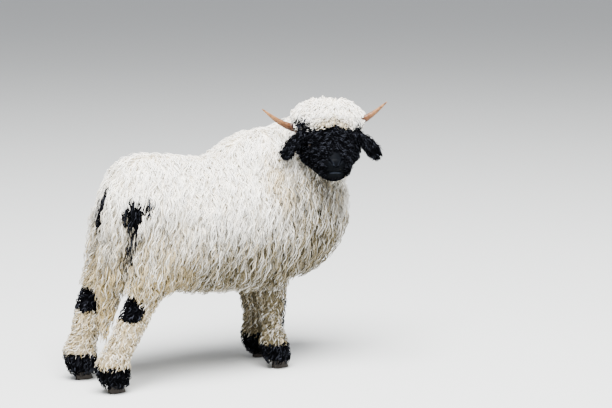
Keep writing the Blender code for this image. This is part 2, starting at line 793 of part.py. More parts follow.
def claw_outline(x, toe, heel, z, half, inner):
    """Flat along the cleft and bowed outside, narrowing to the toe."""
    shares = (0.0, 0.12, 0.35, 0.65, 0.9, 1.0)
    bow = (0.10, 0.55, 0.95, 1.0, 0.85, 0.45)
    outside = [(x - inner * half * b, toe + (heel - toe) * s, z) for s, b in zip(shares, bow)]
    inside = ((1.0, 0.8), (0.5, 0.95), (0.0, 0.45))
    cleft = [(x + inner * half * c, toe + (heel - toe) * s, z) for s, c in inside]
    return outside + cleft


def build_tail():
    tail = clothe(
        column_form("tail", TAIL, TAIL_CORE, 8, 8),
        lie_of_fleece,
        lambda point, normal: 0.25 < point[2] < 0.60 and normal[1] > -0.6,
        lambda point: (*TAIL_CLUMP, TAIL_CORE),
        FINE_VOXEL,
        TAIL_TRIANGLES,
        SEED + 2,
    )
    return combine(tail, [tail_region(0)], "INTERSECT")


def centre_on_origin(objects):
    """Moves the finished sheep so that its box is centred over the origin."""
    corners = np.array([v.co for o in objects for v in o.data.vertices])
    low, high = corners.min(0), corners.max(0)
    shift = Vector((-(low[0] + high[0]) / 2, -(low[1] + high[1]) / 2, 0))
    for obj in objects:
        for vert in obj.data.vertices:
            vert.co += shift
    return shift


def main():
    for old in list(bpy.data.objects):
        bpy.data.objects.remove(old)
    wool = material("wool", WOOL, 0.9)
    black = material("black_wool", BLACK_WOOL, 0.85)
    horn = material("horn", HORN, 0.5)
    hoof = material("hoof", HOOF, 0.45)
    eye = material("eye", EYE, 0.1)
    flesh = build_flesh()
    made = [(build_torso(flesh), wool), (build_neck(flesh), wool), (build_tail(), wool)]
    made += [(build_head(), black), (build_forelock(), wool)]
    for name, side in (("left", 1), ("right", -1)):
        made.append((build_ear(name, side), black))
        made.append((build_horn(name, side), horn))
        made.append((build_eye(name, side), eye))
        made.append((build_rump_patch(flesh, name), black))
        for kind in ("front", "hind"):
            leg, patch, foot = build_leg(flesh, kind, name)
            made += [(leg, wool), (patch, black), (foot, black)]
            made += [(build_claw(kind, name, which), hoof) for which in ("inner", "outer")]
    bpy.data.objects.remove(flesh)
    for obj, finish in made:
        largest_piece(obj)
        obj.data.materials.clear()
        obj.data.materials.append(finish)
        obj.data.shade_smooth()
        obj.data.set_sharp_from_angle(angle=math.radians(50))
    centre_on_origin([obj for obj, finish in made])


main()
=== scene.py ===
"""A valais blacknose sheep, as a still, life-size museum model, standing with its head turned to its right.

The skin flows together from rows of rings: ovals with their own heights above and below, eased along each
limb by a cubic. The wool is solid strands, which walk over the skin from their roots by equal steps along the
lie of the coat, at a height that grows to the coat's depth, and swing from side to side by a sine.
"""
import math

import bmesh
import bpy
import numpy as np
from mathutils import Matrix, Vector


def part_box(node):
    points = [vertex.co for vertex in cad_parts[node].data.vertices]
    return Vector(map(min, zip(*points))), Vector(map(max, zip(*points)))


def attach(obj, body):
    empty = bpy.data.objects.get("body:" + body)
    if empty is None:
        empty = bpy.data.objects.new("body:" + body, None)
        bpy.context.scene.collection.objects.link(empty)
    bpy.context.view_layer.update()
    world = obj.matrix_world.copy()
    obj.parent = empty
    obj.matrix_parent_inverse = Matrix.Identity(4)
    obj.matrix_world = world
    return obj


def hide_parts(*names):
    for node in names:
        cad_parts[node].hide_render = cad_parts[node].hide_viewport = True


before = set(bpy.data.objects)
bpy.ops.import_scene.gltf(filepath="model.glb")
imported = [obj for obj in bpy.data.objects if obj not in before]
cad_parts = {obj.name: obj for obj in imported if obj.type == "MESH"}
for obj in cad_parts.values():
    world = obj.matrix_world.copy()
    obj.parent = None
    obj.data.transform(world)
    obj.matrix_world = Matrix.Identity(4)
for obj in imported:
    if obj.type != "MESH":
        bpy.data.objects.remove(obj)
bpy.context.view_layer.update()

# The stance: the sheep faces -Y, with its head turned back over its right side and nodding. Sizes are in
# metres from a point on the ground between the feet. EYE_SOLID is where the left eye of the solids lies from
# that point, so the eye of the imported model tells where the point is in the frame.
EYE_SOLID = np.array((-0.23908, -0.4981, 0.77525))
SKULL = np.array((-0.19, -0.463, 0.769))
HEAD_TURN, HEAD_NOD = math.radians(113.5), math.radians(33.0)
# Forward, left and up of the skull's middle
EYE_AT, EYE_RADIUS = np.array((0.018, 0.0625, 0.022)), 0.0135
turned = np.array((-math.sin(HEAD_TURN), -math.cos(HEAD_TURN), 0.0))
forward = turned * math.cos(HEAD_NOD) - np.array((0, 0, math.sin(HEAD_NOD)))
upward = turned * math.sin(HEAD_NOD) + np.array((0, 0, math.cos(HEAD_NOD)))
head_axes = np.array((forward, np.cross(upward, forward), upward))


def at_head(places):
    """Points given forward, to the left and up of the middle of the skull, in the sheep's own measures."""
    return SKULL + np.asarray(places, float) @ head_axes


def of_head(points):
    """How far points lie forward, to the left and up of the middle of the skull."""
    return (np.asarray(points) - SKULL) @ head_axes.T


ground = sum(np.array(corner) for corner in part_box("eye_left")) / 2 - EYE_SOLID

# The camera stands at a person's eye level, about seven metres off to the sheep's right and behind, and looks
# along a long lens.
CAMERA_AT, CAMERA_AIM = np.array((-5.8, 3.25, 1.55)), np.array((-0.14, -0.4, 0.57))
LENS, SENSOR = 117.0, 36.0


def aimed(made, place, target):
    """Sets a camera or lamp at a place and turns its front to a target."""
    bpy.context.scene.collection.objects.link(made)
    made.location = place
    made.rotation_euler = Vector(np.array(place) - target).to_track_quat("Z", "Y").to_euler()
    return made


camera = bpy.data.objects.new("camera", bpy.data.cameras.new("camera"))
camera.data.lens, camera.data.sensor_width = LENS, SENSOR
bpy.context.scene.camera = aimed(camera, CAMERA_AT + ground, CAMERA_AIM + ground)


# The skin: the sheep's body under its wool, of one piece from the muzzle to the tail's tip. Rings of trunk,
# neck, legs, tail, crown and head flow together, are meshed evenly and finer over the head, and smoothed.
# Eye sockets, brows, nostrils and lips are then pressed into it.
SIDES = {"left": 1, "right": -1}
# How deep the wool lies over the rings, and which share of it over the back
WOOL_DEPTH, LEG_WOOL, TAIL_WOOL, CROWN_WOOL, TOP_SHARE = 0.026, 0.012, 0.013, 0.013, 0.48
# Rows of the trunk: y, low, high, half width
TRUNK = (
    (0.3, 0.47, 0.6, 0.06), (0.265, 0.395, 0.7, 0.135), (0.2, 0.33, 0.752, 0.18), (0.1, 0.29, 0.758, 0.207),
    (-0.02, 0.258, 0.741, 0.22), (-0.14, 0.246, 0.738, 0.222), (-0.26, 0.252, 0.752, 0.215),
    (-0.37, 0.285, 0.76, 0.2), (-0.47, 0.325, 0.745, 0.175), (-0.555, 0.385, 0.705, 0.135),
    (-0.605, 0.44, 0.65, 0.085), (-0.62, 0.49, 0.6, 0.04),
)
# Rows of the neck: centre, half width, reach to the nape and to the throat
NECK = (
    (0.0, -0.09, 0.545, 0.15, 0.12, 0.14), (0.0, -0.19, 0.595, 0.18, 0.165, 0.19),
    (0.0, -0.295, 0.63, 0.185, 0.188, 0.22), (0.0, -0.395, 0.668, 0.172, 0.17, 0.225),
    (-0.024, -0.465, 0.728, 0.14, 0.14, 0.185), (-0.07, -0.49, 0.785, 0.104, 0.106, 0.125),
    (-0.108, -0.495, 0.82, 0.066, 0.07, 0.07),
)
# Rows of the tail: centre, half width, half depth
TAIL = (
    (-0.01, 0.228, 0.665, 0.04, 0.02), (-0.03, 0.254, 0.64, 0.048, 0.032), (-0.046, 0.27, 0.56, 0.053, 0.035),
    (-0.036, 0.28, 0.45, 0.052, 0.035), (-0.015, 0.29, 0.33, 0.048, 0.034),
    (-0.005, 0.298, 0.23, 0.032, 0.028), (0.0, 0.302, 0.175, 0.012, 0.012),
)
# Rows of the head: way along the face, half width, height above and below that line
HEAD = (
    (-0.1, 0.036, 0.03, 0.04), (-0.082, 0.062, 0.054, 0.062), (-0.045, 0.084, 0.07, 0.078),
    (-0.005, 0.091, 0.07, 0.082), (0.03, 0.084, 0.06, 0.074), (0.065, 0.069, 0.05, 0.064),
    (0.09, 0.057, 0.045, 0.055), (0.109, 0.05, 0.042, 0.047), (0.124, 0.045, 0.04, 0.039),
    (0.135, 0.034, 0.03, 0.027),
)
FRONT_LEGS = {"left": (0.088, -0.33), "right": (-0.095, -0.297)}
HIND_FEET = {"left": (0.117, 0.35), "right": (-0.119, 0.349)}
HOCKS = {"left": (0.117, 0.283), "right": (-0.119, 0.238)}
CROWN_AT, CROWN_RADII = np.array((-0.08, 0, 0.056)), np.array((0.08, 0.13, 0.068))
FOOT_TOP = 0.088


def reach_of(ways):
    """How long each of the ways is."""
    return np.linalg.norm(ways, axis=-1)


def unit(ways):
    """Ways made one long."""
    return ways / np.maximum(1e-9, reach_of(ways))[..., None]


def eased(rows, count):
    """Rows of sizes read at count even places of the Catmull-Rom cubic through them."""
    rows = np.array(rows, float)
    padded = np.vstack([2 * rows[0] - rows[1], rows, 2 * rows[-1] - rows[-2]])
    place = np.linspace(0, len(rows) - 1, count)
    first = np.minimum(place.astype(int), len(rows) - 2)
    t = (place - first)[:, None]
    a, b, c, d = (padded[first + k] for k in range(4))
    return b + t * (c - a) / 2 + t**2 * (2 * a - 5 * b + 4 * c - d) / 2 + t**3 * (3 * b - a - 3 * c + d) / 2


def ovals(centre, across, above_way, half, above, below, sides=48, fullness=2.0):
    """Rings round centres: half * cos(a)^p across, above or below * sin(a)^p upwards, p = 2 / fullness."""
    angle = np.arange(sides) * 2 * math.pi / sides
    c, s = np.cos(angle), np.sin(angle)
    power = 2 / fullness
    x = np.outer(half, np.sign(c) * np.abs(c) ** power)
    y = np.where(s > 0, np.outer(above, np.abs(s) ** power), -np.outer(below, np.abs(s) ** power))
    across, above_way = (np.atleast_2d(way)[:, None] for way in (across, above_way))
    return centre[:, None] + x[..., None] * across + y[..., None] * above_way


def lathe_faces(rows, sides):
    """Four-sided faces between rings laid one after the other, the last point of a ring next to its first."""
    low = np.arange((rows - 1) * sides).reshape(rows - 1, sides)
    after = np.roll(low, -1, axis=1)
    return np.stack([low, after, after + sides, low + sides], -1).reshape(-1, 4)


def piece(name, points, *groups):
    """A smooth mesh object of points from the ground point and groups of faces, each group of one size."""
    corners = np.concatenate([np.asarray(faces, np.int32).ravel() for faces in groups])
    sizes = np.concatenate([np.full(len(faces), len(faces[0]), np.int32) for faces in groups])
    mesh = bpy.data.meshes.new(name)
    mesh.vertices.add(len(points))
    mesh.vertices.foreach_set("co", (points + ground).astype(np.float32).ravel())
    mesh.loops.add(len(corners))
    mesh.loops.foreach_set("vertex_index", corners)
    mesh.polygons.add(len(sizes))
    mesh.polygons.foreach_set("loop_start", np.cumsum(sizes, dtype=np.int32) - sizes)
    mesh.update(calc_edges=True)
    mesh.shade_smooth()
    made = bpy.data.objects.new(name, mesh)
    bpy.context.scene.collection.objects.link(made)
    return made


def outward(made):
    """Turns all faces of a closed piece outwards."""
    bm = bmesh.new()
    bm.from_mesh(made.data)
    bmesh.ops.recalc_face_normals(bm, faces=bm.faces)
    bm.to_mesh(made.data)
    bm.free()


def limb(name, rings):
    """A closed piece of rings, with flat ends drawn in to their middles."""
    rows, sides = rings.shape[:2]
    walls, first = lathe_faces(rows, sides), np.arange(sides)
    last = (rows - 1) * sides + first
    start = np.stack([0 * first + rows * sides, np.roll(first, -1), first], -1)
    finish = np.stack([0 * first + rows * sides + 1, last, np.roll(last, -1)], -1)
    points = np.vstack([rings.reshape(-1, 3), rings[[0, -1]].mean(1)])
    made = piece(name, points, walls, np.vstack([start, finish]))
    made.data.polygons.foreach_set("use_smooth", np.arange(len(made.data.polygons)) < len(walls))
    outward(made)
    return made


def upright_limb(rows, inset):
    """Level rings of a leg or the tail, less the depth of its wool, which fades out at the foot."""
    x, y, z, half, depth = eased(rows, 24).T
    inset = inset * np.clip((z - FOOT_TOP) / 0.04, 0, 1)
    sizes = np.maximum(0.008, (half - inset, depth - inset, depth - inset))
    return limb("part", ovals(np.stack([x, y, z], 1), (1, 0, 0), (0, 1, 0), *sizes))


def front_leg(side):
    """Rings of a front leg from inside the shoulder, over the knee and the pastern, to the hoof's collar."""
    x, y = FRONT_LEGS[side]
    rows = (
        (0.012, 0.48, 0.085, 0.105), (0.016, 0.38, 0.07, 0.082), (0.014, 0.3, 0.052, 0.058),
        (0.004, 0.215, 0.043, 0.046), (0.002, 0.15, 0.036, 0.038), (0.0, 0.095, 0.037, 0.04),
        (-0.01, 0.055, 0.034, 0.04), (-0.016, 0.036, 0.03, 0.036), (-0.018, 0.026, 0.026, 0.032),
    )
    return [(x, y + dy, z, half, depth) for dy, z, half, depth in rows]


def hind_leg(side):
    """Rings of a hind leg from inside the thigh, back over the hock, and down to the hoof's collar."""
    (x, y), (hx, hy) = HIND_FEET[side], HOCKS[side]
    return [
        (hx * 0.8, hy - 0.124, 0.56, 0.082, 0.118),
        (hx * 0.9, hy - 0.109, 0.46, 0.084, 0.116),
        (hx, hy - 0.072, 0.375, 0.064, 0.09),
        (hx, hy - 0.026, 0.315, 0.049, 0.06),
        (hx, hy + 0.004, 0.265, 0.049, 0.056),
        ((hx + x) / 2, (hy + y) / 2 - 0.004, 0.18, 0.048, 0.05),
        (x, y - 0.01, 0.1, 0.047, 0.048),
        (x, y - 0.016, 0.06, 0.038, 0.042),
        (x, y - 0.02, 0.036, 0.032, 0.037),
        (x, y - 0.022, 0.026, 0.027, 0.033),
    ]


y, low, high, half = eased(TRUNK, 30).T
# The wool lies over the trunk's ends too
shut = WOOL_DEPTH * 0.8 * (np.clip((-0.5 - y) / 0.1, 0, 1) - np.clip((y - 0.2) / 0.09, 0, 1))
height = (high - low) / 2
middles = np.stack([0 * y, y + shut, (low + high) / 2], 1)
sizes = np.maximum(0.02, (half - WOOL_DEPTH, height - WOOL_DEPTH * TOP_SHARE, height - WOOL_DEPTH))
trunk_rings = ovals(middles, (1, 0, 0), (0, 0, 1), *sizes, fullness=2.25)
neck_rows = eased(NECK, 24)
along = unit(np.gradient(neck_rows[:, :3], axis=0))
across = unit(np.cross(along, (0, 0, 1)))
sizes = np.maximum(0.02, neck_rows[:, 3:] - WOOL_DEPTH * np.array((1, TOP_SHARE, 1))).T
neck_rings = ovals(neck_rows[:, :3], across, np.cross(across, along), *sizes, fullness=2.1)
s, *sizes = eased(HEAD, 40).T
middles = at_head(np.stack([s, 0 * s, 0 * s], 1))
head_rings = ovals(middles, head_axes[1], head_axes[2], *sizes, sides=64, fullness=2.2)
polar = np.linspace(0.06, math.pi - 0.06, 24)
ahead, aside, up = CROWN_RADII - CROWN_WOOL
middles = at_head(CROWN_AT) + np.outer(np.cos(polar) * aside, head_axes[1])
crown_rings = ovals(middles, head_axes[0], head_axes[2], *np.outer((ahead, up, up), np.sin(polar)))
parts = [limb("part", rings) for rings in (neck_rings, head_rings, crown_rings)]
parts.append(upright_limb(TAIL, TAIL_WOOL))
for side in SIDES:
    parts.append(upright_limb(front_leg(side), LEG_WOOL))
    parts.append(upright_limb(hind_leg(side), LEG_WOOL))
skin = limb("skin", trunk_rings)


def baked(made):
    """Replaces a piece's mesh by what its modifiers make of it."""
    graph = bpy.context.evaluated_depsgraph_get()
    mesh = bpy.data.meshes.new_from_object(made.evaluated_get(graph))
    made.modifiers.clear()
    made.data = mesh


def read_points(mesh, what="co"):
    """The places or normals of a mesh's vertices as an array of rows."""
    values = np.empty(3 * len(mesh.vertices), np.float32)
    mesh.vertices.foreach_get(what, values)
    return values.reshape(-1, 3).astype(float)


bm = bmesh.new()
for one in (skin, *parts):
    bm.from_mesh(one.data)
bm.to_mesh(skin.data)
bm.free()
for one in parts:
    bpy.data.objects.remove(one)
evened = skin.modifiers.new("evened", "REMESH")
evened.mode, evened.voxel_size = "VOXEL", 0.006
baked(skin)

# Fine cells over the head, and finer ones over the muzzle, for the features of the face
bm = bmesh.new()
bm.from_mesh(skin.data)
for start in (-0.03, 0.075):
    bm.verts.ensure_lookup_table()
    bm.verts.index_update()
    s, l, u = of_head(np.array([v.co[:] for v in bm.verts]) - ground).T
    fine = (s > start) & (np.abs(l) < 0.12) & (u > -0.12) & (u < 0.075)
    edges = [e for e in bm.edges if fine[e.verts[0].index] and fine[e.verts[1].index]]
    bmesh.ops.subdivide_edges(bm, edges=edges, cuts=1, use_grid_fill=True)
bmesh.ops.triangulate(bm, faces=[f for f in bm.faces if len(f.verts) > 4])
bm.to_mesh(skin.data)
bm.free()
softened = skin.modifiers.new("softened", "SMOOTH")
softened.factor, softened.iterations = 0.5, 16
baked(skin)

# The features of the face: a curve in head measures, and width and height of the ridge pressed along it. A
# negative height is a furrow, and curves on the left are mirrored. In this order: socket, lid fold, bridge,
# brow, tear furrow, hollow of the muzzle, cheek, rims of the nostril, nostril, lips, mouth, philtrum, chin.
NOSTRIL = ((0.134, 0.006, 0.023), (0.13, 0.012, 0.032), (0.121, 0.0195, 0.037), (0.111, 0.024, 0.036))
MOUTH = (
    (0.08, 0.056, -0.02), (0.104, 0.049, -0.013), (0.122, 0.038, -0.007), (0.134, 0.019, 0.0),
    (0.138, 0.0, 0.004),
)
PHILTRUM = ((0.139, 0, 0.004), (0.139, 0, 0.013), (0.135, 0, 0.023))
FEATURES = (
    (((0.008, 0.082, 0.022), (0.018, 0.08, 0.022), (0.028, 0.078, 0.021)), 0.015, -0.015),
    (((-0.004, 0.078, 0.042), (0.018, 0.076, 0.046), (0.036, 0.07, 0.04)), 0.009, 0.0045),
    (((0.0, 0.0, 0.07), (0.05, 0.0, 0.062), (0.09, 0.0, 0.05), (0.118, 0.0, 0.044)), 0.022, 0.004),
    (((-0.01, 0.07, 0.052), (0.018, 0.076, 0.046), (0.042, 0.066, 0.032)), 0.012, 0.006),
    (((0.04, 0.066, 0.01), (0.052, 0.062, -0.002), (0.066, 0.058, -0.008)), 0.01, -0.0045),
    (((0.07, 0.052, 0.012), (0.095, 0.044, 0.012), (0.115, 0.038, 0.01)), 0.013, -0.003),
    (((-0.035, 0.086, -0.01), (0.0, 0.088, -0.016), (0.028, 0.082, -0.022)), 0.022, 0.007),
    (np.array(NOSTRIL) + (0.001, 0.002, 0.006), 0.0055, 0.0026),
    (np.array(NOSTRIL) + (0.001, 0.0, -0.007), 0.0055, 0.0016),
    (NOSTRIL, 0.0026, -0.0085),
    (np.array(MOUTH) + (0, 0, 0.0075), 0.0062, 0.002),
    (np.array(MOUTH) + (-0.003, 0, -0.008), 0.0062, 0.0026),
    (MOUTH, 0.0022, -0.0062),
    (PHILTRUM, 0.002, -0.0036),
    (((0.126, -0.016, -0.022), (0.13, 0.0, -0.024), (0.126, 0.016, -0.022)), 0.014, 0.0045),
)


def beside(points, curve, side):
    """The distance from points, in head measures, to a curve eased through corners and mirrored by side."""
    line = eased(np.array(curve) * (1, side, 1), 24)
    starts, ways = line[:-1], np.diff(line, axis=0)
    offset = points[:, None] - starts
    share = np.clip((offset * ways).sum(-1) / (ways**2).sum(-1), 0, 1)
    return reach_of(offset - share[..., None] * ways).min(1)


skin_points, skin_normals = read_points(skin.data), read_points(skin.data, "normal")
near = np.flatnonzero(reach_of(skin_points - ground - at_head((0.05, 0, 0))) < 0.17)
on_head = of_head(skin_points[near] - ground)
pressed = np.zeros(len(near))
for curve, width, height in FEATURES:
    for side in (1, -1) if curve[0][1] > 0 else (1,):
        pressed += height * np.exp(-((beside(on_head, curve, side) / width) ** 2))
skin_points[near] += skin_normals[near] * pressed[:, None]
skin.data.vertices.foreach_set("co", skin_points.astype(np.float32).ravel())
skin.data.update()
skin.data.shade_smooth()
skin_points = read_points(skin.data) - ground


def within(points, at, size, soft=0.12):
    """1 inside an oval space and 0 outside, falling over a share of its size on both sides of its surface."""
    reach = reach_of((points - np.array(at)) / np.array(size))
    return np.clip((1 + soft - reach) / (2 * soft), 0, 1)


def between(value, start, end):
    """0 up to start and 1 from end on, by a smooth step."""
    t = np.clip((value - start) / (end - start), 0, 1)
    return t * t * (3 - 2 * t)


def head_share(points):
    """1 on the head, inside the rings of the face grown by a centimetre, and 0 elsewhere."""
    s, l, u = of_head(points).T
    rows = np.array(HEAD).T
    half, above, below = (np.interp(s, rows[0], row) + 0.01 for row in rows[1:])
    reach = np.hypot(l / half, u / np.where(u > 0, above, below))
    return (1 - between(reach, 0.98, 1.06)) * between(s, -0.085, -0.06)


def crown_share(points):
    """1 on the dome of white wool over the brow and poll, and 0 elsewhere."""
    on_head = of_head(points)
    reach = reach_of((on_head - CROWN_AT) / CROWN_RADII)
    front = on_head[:, 0] - 0.5 * on_head[:, 2] - 0.014 * between(np.abs(on_head[:, 1]), 0.02, 0.07)
    return (1 - between(reach, 0.98, 1.08)) * (1 - between(front, -0.062, -0.05))


def black_share(points):
    """The black of the coat: face, feet, knees, hocks, spots beside the tail, in part above the ears, and a
    painted shadow line below the spot on the right of the tail.
    """
    z = points[:, 2]
    black = head_share(points) * (1 - crown_share(points))
    black = np.maximum(black, 1 - between(z, FOOT_TOP, FOOT_TOP + 0.012))
    spots = [
        ((0.04, 0.29, 0.57), (0.042, 0.08, 0.052), 1.0),
        ((0.024, 0.29, 0.616), (0.024, 0.07, 0.034), 1.0),
        ((-0.131, 0.238, 0.601), (0.052, 0.06, 0.026), 1.0),
        ((-0.122, 0.26, 0.568), (0.03, 0.06, 0.034), 1.0),
        ((-0.13, 0.262, 0.53), (0.018, 0.06, 0.04), 1.0),
        # The last two, at part strength, are a painted shadow line running down from the right spot
        ((-0.122, 0.265, 0.488), (0.01, 0.05, 0.03), 0.62),
        ((-0.112, 0.268, 0.438), (0.018, 0.05, 0.032), 0.64),
    ]
    spots += [((x, y - 0.034, 0.2), (0.05, 0.036, 0.06), 1.0) for x, y in FRONT_LEGS.values()]
    spots += [((x, y + 0.034, 0.27), (0.062, 0.046, 0.048), 1.0) for x, y in HOCKS.values()]
    for at, size, most in spots:
        black = np.maximum(black, most * within(points, at, size))
    on_head = of_head(points)
    black = np.maximum(black, 0.72 * within(on_head, (-0.04, -0.098, 0.062), (0.042, 0.044, 0.04), 0.25))
    return np.maximum(black, 0.58 * within(on_head, (-0.036, 0.098, 0.058), (0.036, 0.032, 0.036), 0.25))


def brow_hem(points):
    """1 on the hem of the crown's wool over the brow."""
    return within(of_head(points), (-0.004, 0.0, 0.078), (0.03, 0.066, 0.026), 0.35)


def dust_and_shade_share(points):
    """The brown of dirt, and painted shade under the body: low behind, on flanks and breast, on legs and
    shoulders, and on the brow's hem.
    """
    x, y, z = points.T
    behind = 0.68 * (1 - between(z, 0.46, 0.66)) * between(y, 0.02, 0.16)
    # Low on the flanks and breast, and on the legs, this is painted shade under the body as well as dust
    height = z + 0.06 * between(y, -0.1, 0.2) - 0.12 * between(-y, 0.2, 0.46)
    low = 1.4 * (1 - between(height, 0.29, 0.63)) * (1 - 0.32 * between(-y, 0.46, 0.6))
    low = low * between(z, 0.24, 0.34) * (1 - 0.34 * between(x, -0.04, 0.12))
    legs = (0.36 + 1.14 * between(-y, 0.1, 0.2)) * (1 - between(z, 0.24, 0.34))
    aside = np.stack([np.abs(x), y, z], 1)
    shoulder = np.where(x < 0, 0.74, 0.4) * within(aside, (0.17, -0.42, 0.58), (0.15, 0.17, 0.18), 0.45)
    return np.maximum.reduce([behind, low, legs, shoulder, 0.5 * brow_hem(points)])


def yellow_share(points):
    """The yellow of grease: behind the right ear, on tail tip and hind legs, and on the brow's hem."""
    y, z = points.T[1:]
    ear = 0.75 * within(points, (-0.18, -0.275, 0.712), (0.07, 0.055, 0.1), 0.5)
    tail = within(points, (0.0, 0.31, 0.24), (0.06, 0.06, 0.12))
    legs = 0.58 * between(y, 0.0, 0.1) * (1 - between(z, 0.3, 0.62))
    return np.maximum.reduce([ear, tail, legs, 0.55 * brow_hem(points)])


def bare_share(points, around=0.0):
    """The nose, bridge and lips, where the hair is short and flat, and so far around."""
    s, l, u = of_head(points).T
    width = 0.004 + 0.018 * between(s, 0.085, 0.13) + around
    front = between(s, 0.074 - around, 0.104 - around) * (1 - between(np.abs(l), width, width + 0.01))
    return front * between(u, -0.032 - around, -0.016 - around)


def rim_share(points):
    """The rims of the lower lip and of the nostrils: paler, hairless skin with a painted highlight along it.
    """
    on_head = of_head(points)
    rims = np.zeros(len(points))
    near = np.flatnonzero((on_head[:, 0] > 0.09) & (np.abs(on_head).max(1) < 0.16))
    for side in SIDES.values():
        lip = beside(on_head[near], np.array(MOUTH[2:]) + (0, 0, -0.0042), side)
        nostril = beside(on_head[near], np.array(NOSTRIL[:3]) + (0.001, 0, 0.0042), side)
        rims[near] = np.maximum(rims[near], np.exp(-((np.minimum(lip, nostril) / 0.0022) ** 2)))
    return rims


def attribute(made, name, values):
    """Keeps one value for all of a piece's points or one for each, for its material to read by name."""
    kept = made.data.attributes.get(name) or made.data.attributes.new(name, "FLOAT", "POINT")
    values = np.broadcast_to(np.asarray(values, np.float32), len(made.data.vertices))
    kept.data.foreach_set("value", np.ascontiguousarray(values))


MARKS = {"black": black_share, "dust_and_shade": dust_and_shade_share, "yellow": yellow_share, "bare": bare_share}


def mark(made, points, names=MARKS):
    """Keeps markings of the coat, read at points that each stand for as many points of the piece."""
    for name in names:
        attribute(made, name, np.repeat(MARKS[name](points), len(made.data.vertices) // len(points)))


class Maths:
    """A socket of a material in which sums are written as sums."""

    def __init__(self, tree, socket):
        self.tree, self.socket = tree, socket

    def node(self, kind, settings=(), **inputs):
        """Another node of the tree, its settings made first and then the values or links of its sockets."""
        made = self.tree.nodes.new(kind)
        for name, value in dict(settings).items():
            setattr(made, name, value)
        for name, value in inputs.items():
            key = int(name[1:]) if name[0] == "_" else name.replace("_", " ")
            socket = made.inputs[key]
            if isinstance(value, Maths):
                self.tree.links.new(value.socket, socket)
            else:
                socket.default_value = value
        return made

    def maths(self, operation, a, b=0.0):
        """What a Math node makes of one or two values."""
        made = self.node("ShaderNodeMath", {"operation": operation}, _0=a, _1=b)
        return Maths(self.tree, made.outputs[0])

    def __add__(self, other):
        return self.maths("ADD", self, other)

    def __sub__(self, other):
        return self.maths("SUBTRACT", self, other)

    def __mul__(self, other):
        return self.maths("MULTIPLY", self, other)

    def __rsub__(self, other):
        return self.maths("SUBTRACT", other, self)

    __radd__, __rmul__ = __add__, __mul__

    def root(self):
        """The square root."""
        return self.maths("SQRT", self)

    def size(self):
        """The value without its sign."""
        return self.maths("ABSOLUTE", self)

    def to(self, other, share):
        """This colour mixed with another by a share."""
        made = self.node("ShaderNodeMix", {"data_type": "RGBA"}, _0=share, _6=self, _7=other)
        return Maths(self.tree, made.outputs[2])


class Finish:
    """A material for a piece, with a Principled shader and the few nodes that its colours need."""

    def __init__(self, name, roughness, **fixed):
        self.material = bpy.data.materials.new(name)
        self.material.use_nodes = True
        self.tree = self.material.node_tree
        self.shader = self.tree.nodes["Principled BSDF"]
        self.shader.inputs["Roughness"].default_value = roughness
        for key, value in fixed.items():
            self.shader.inputs[key.replace("_", " ")].default_value = value
        self.start = Maths(self.tree, None)

    def attribute(self, name):
        """The values that a piece keeps under a name."""
        made = self.start.node("ShaderNodeAttribute", {"attribute_name": name})
        return Maths(self.tree, made.outputs["Fac"])

    def colour(self, value):
        """A colour to start mixing from."""
        made = self.start.node("ShaderNodeRGB")
        made.outputs[0].default_value = (*value, 1)
        return Maths(self.tree, made.outputs[0])

    def over_space(self, kind, output="Fac", settings=(), **inputs):
        """What a node makes of the places in the frame's space."""
        place = Maths(self.tree, self.start.node("ShaderNodeTexCoord").outputs["Object"])
        made = self.start.node(kind, settings, _0=place, **inputs)
        return Maths(self.tree, made.outputs[output])

    def noise(self, scale, detail=3.0, roughness=0.55):
        """Noise from 0 to 1, mostly near 0.5."""
        return self.over_space("ShaderNodeTexNoise", Scale=scale, Detail=detail, Roughness=roughness)

    def steps(self, value, start, end):
        """0 below start and 1 above end."""
        kind, clamp = "ShaderNodeMapRange", {"clamp": True}
        made = self.start.node(kind, clamp, Value=value, From_Min=start, From_Max=end)
        return Maths(self.tree, made.outputs["Result"])

    def feed(self, **values):
        """Links values to sockets of the shader."""
        for name, value in values.items():
            self.tree.links.new(value.socket, self.shader.inputs[name.replace("_", " ")])

    def bump(self, height, strength, distance):
        """Shades the surface as if raised by height times distance."""
        made = self.start.node("ShaderNodeBump", Height=height, Strength=strength, Distance=distance)
        self.tree.links.new(made.outputs[0], self.shader.inputs["Normal"])

    def put(self, made):
        """Makes this the only material of a piece."""
        made.data.materials.clear()
        made.data.materials.append(self.material)


# One finish for skin and wool: white wool with grease, dust and painted shade, or black with a painted
# highlight on some strands, each strand by its own draw
wool = Finish("wool", 0.85, Specular_IOR_Level=0.018, Coat_Roughness=0.3)
share, draw = wool.attribute("share"), wool.attribute("draw")
black = wool.attribute("black") + (draw - 0.5) * 0.35 + (wool.noise(60.0) - 0.5) * 0.4
white = wool.colour((0.94, 0.88, 0.76)).to((0.97, 0.95, 0.9, 1), wool.steps(share, 0.1, 0.7))
# Brown of dust, and painted shade low on the body and on the legs
dust_and_shade_amount = wool.attribute("dust_and_shade") * (0.25 + draw * 1.5)
white = white.to((0.112, 0.092, 0.052, 1), dust_and_shade_amount)
white = white.to((0.48, 0.35, 0.14, 1), wool.attribute("yellow") * (0.25 + draw * 0.9))
white = white.to((0.8, 0.68, 0.48, 1), wool.steps(draw, 0.7, 1.0) * 0.5)
# Black wool: the lighter, bluish strands are a painted highlight on the curls
dark = wool.colour((0.0012, 0.0013, 0.0018)).to((0.025, 0.027, 0.035, 1), wool.steps(draw, 0.66, 1.0))
bare = wool.attribute("bare")
dark = dark.to((0.0012, 0.0016, 0.0024, 1), bare)
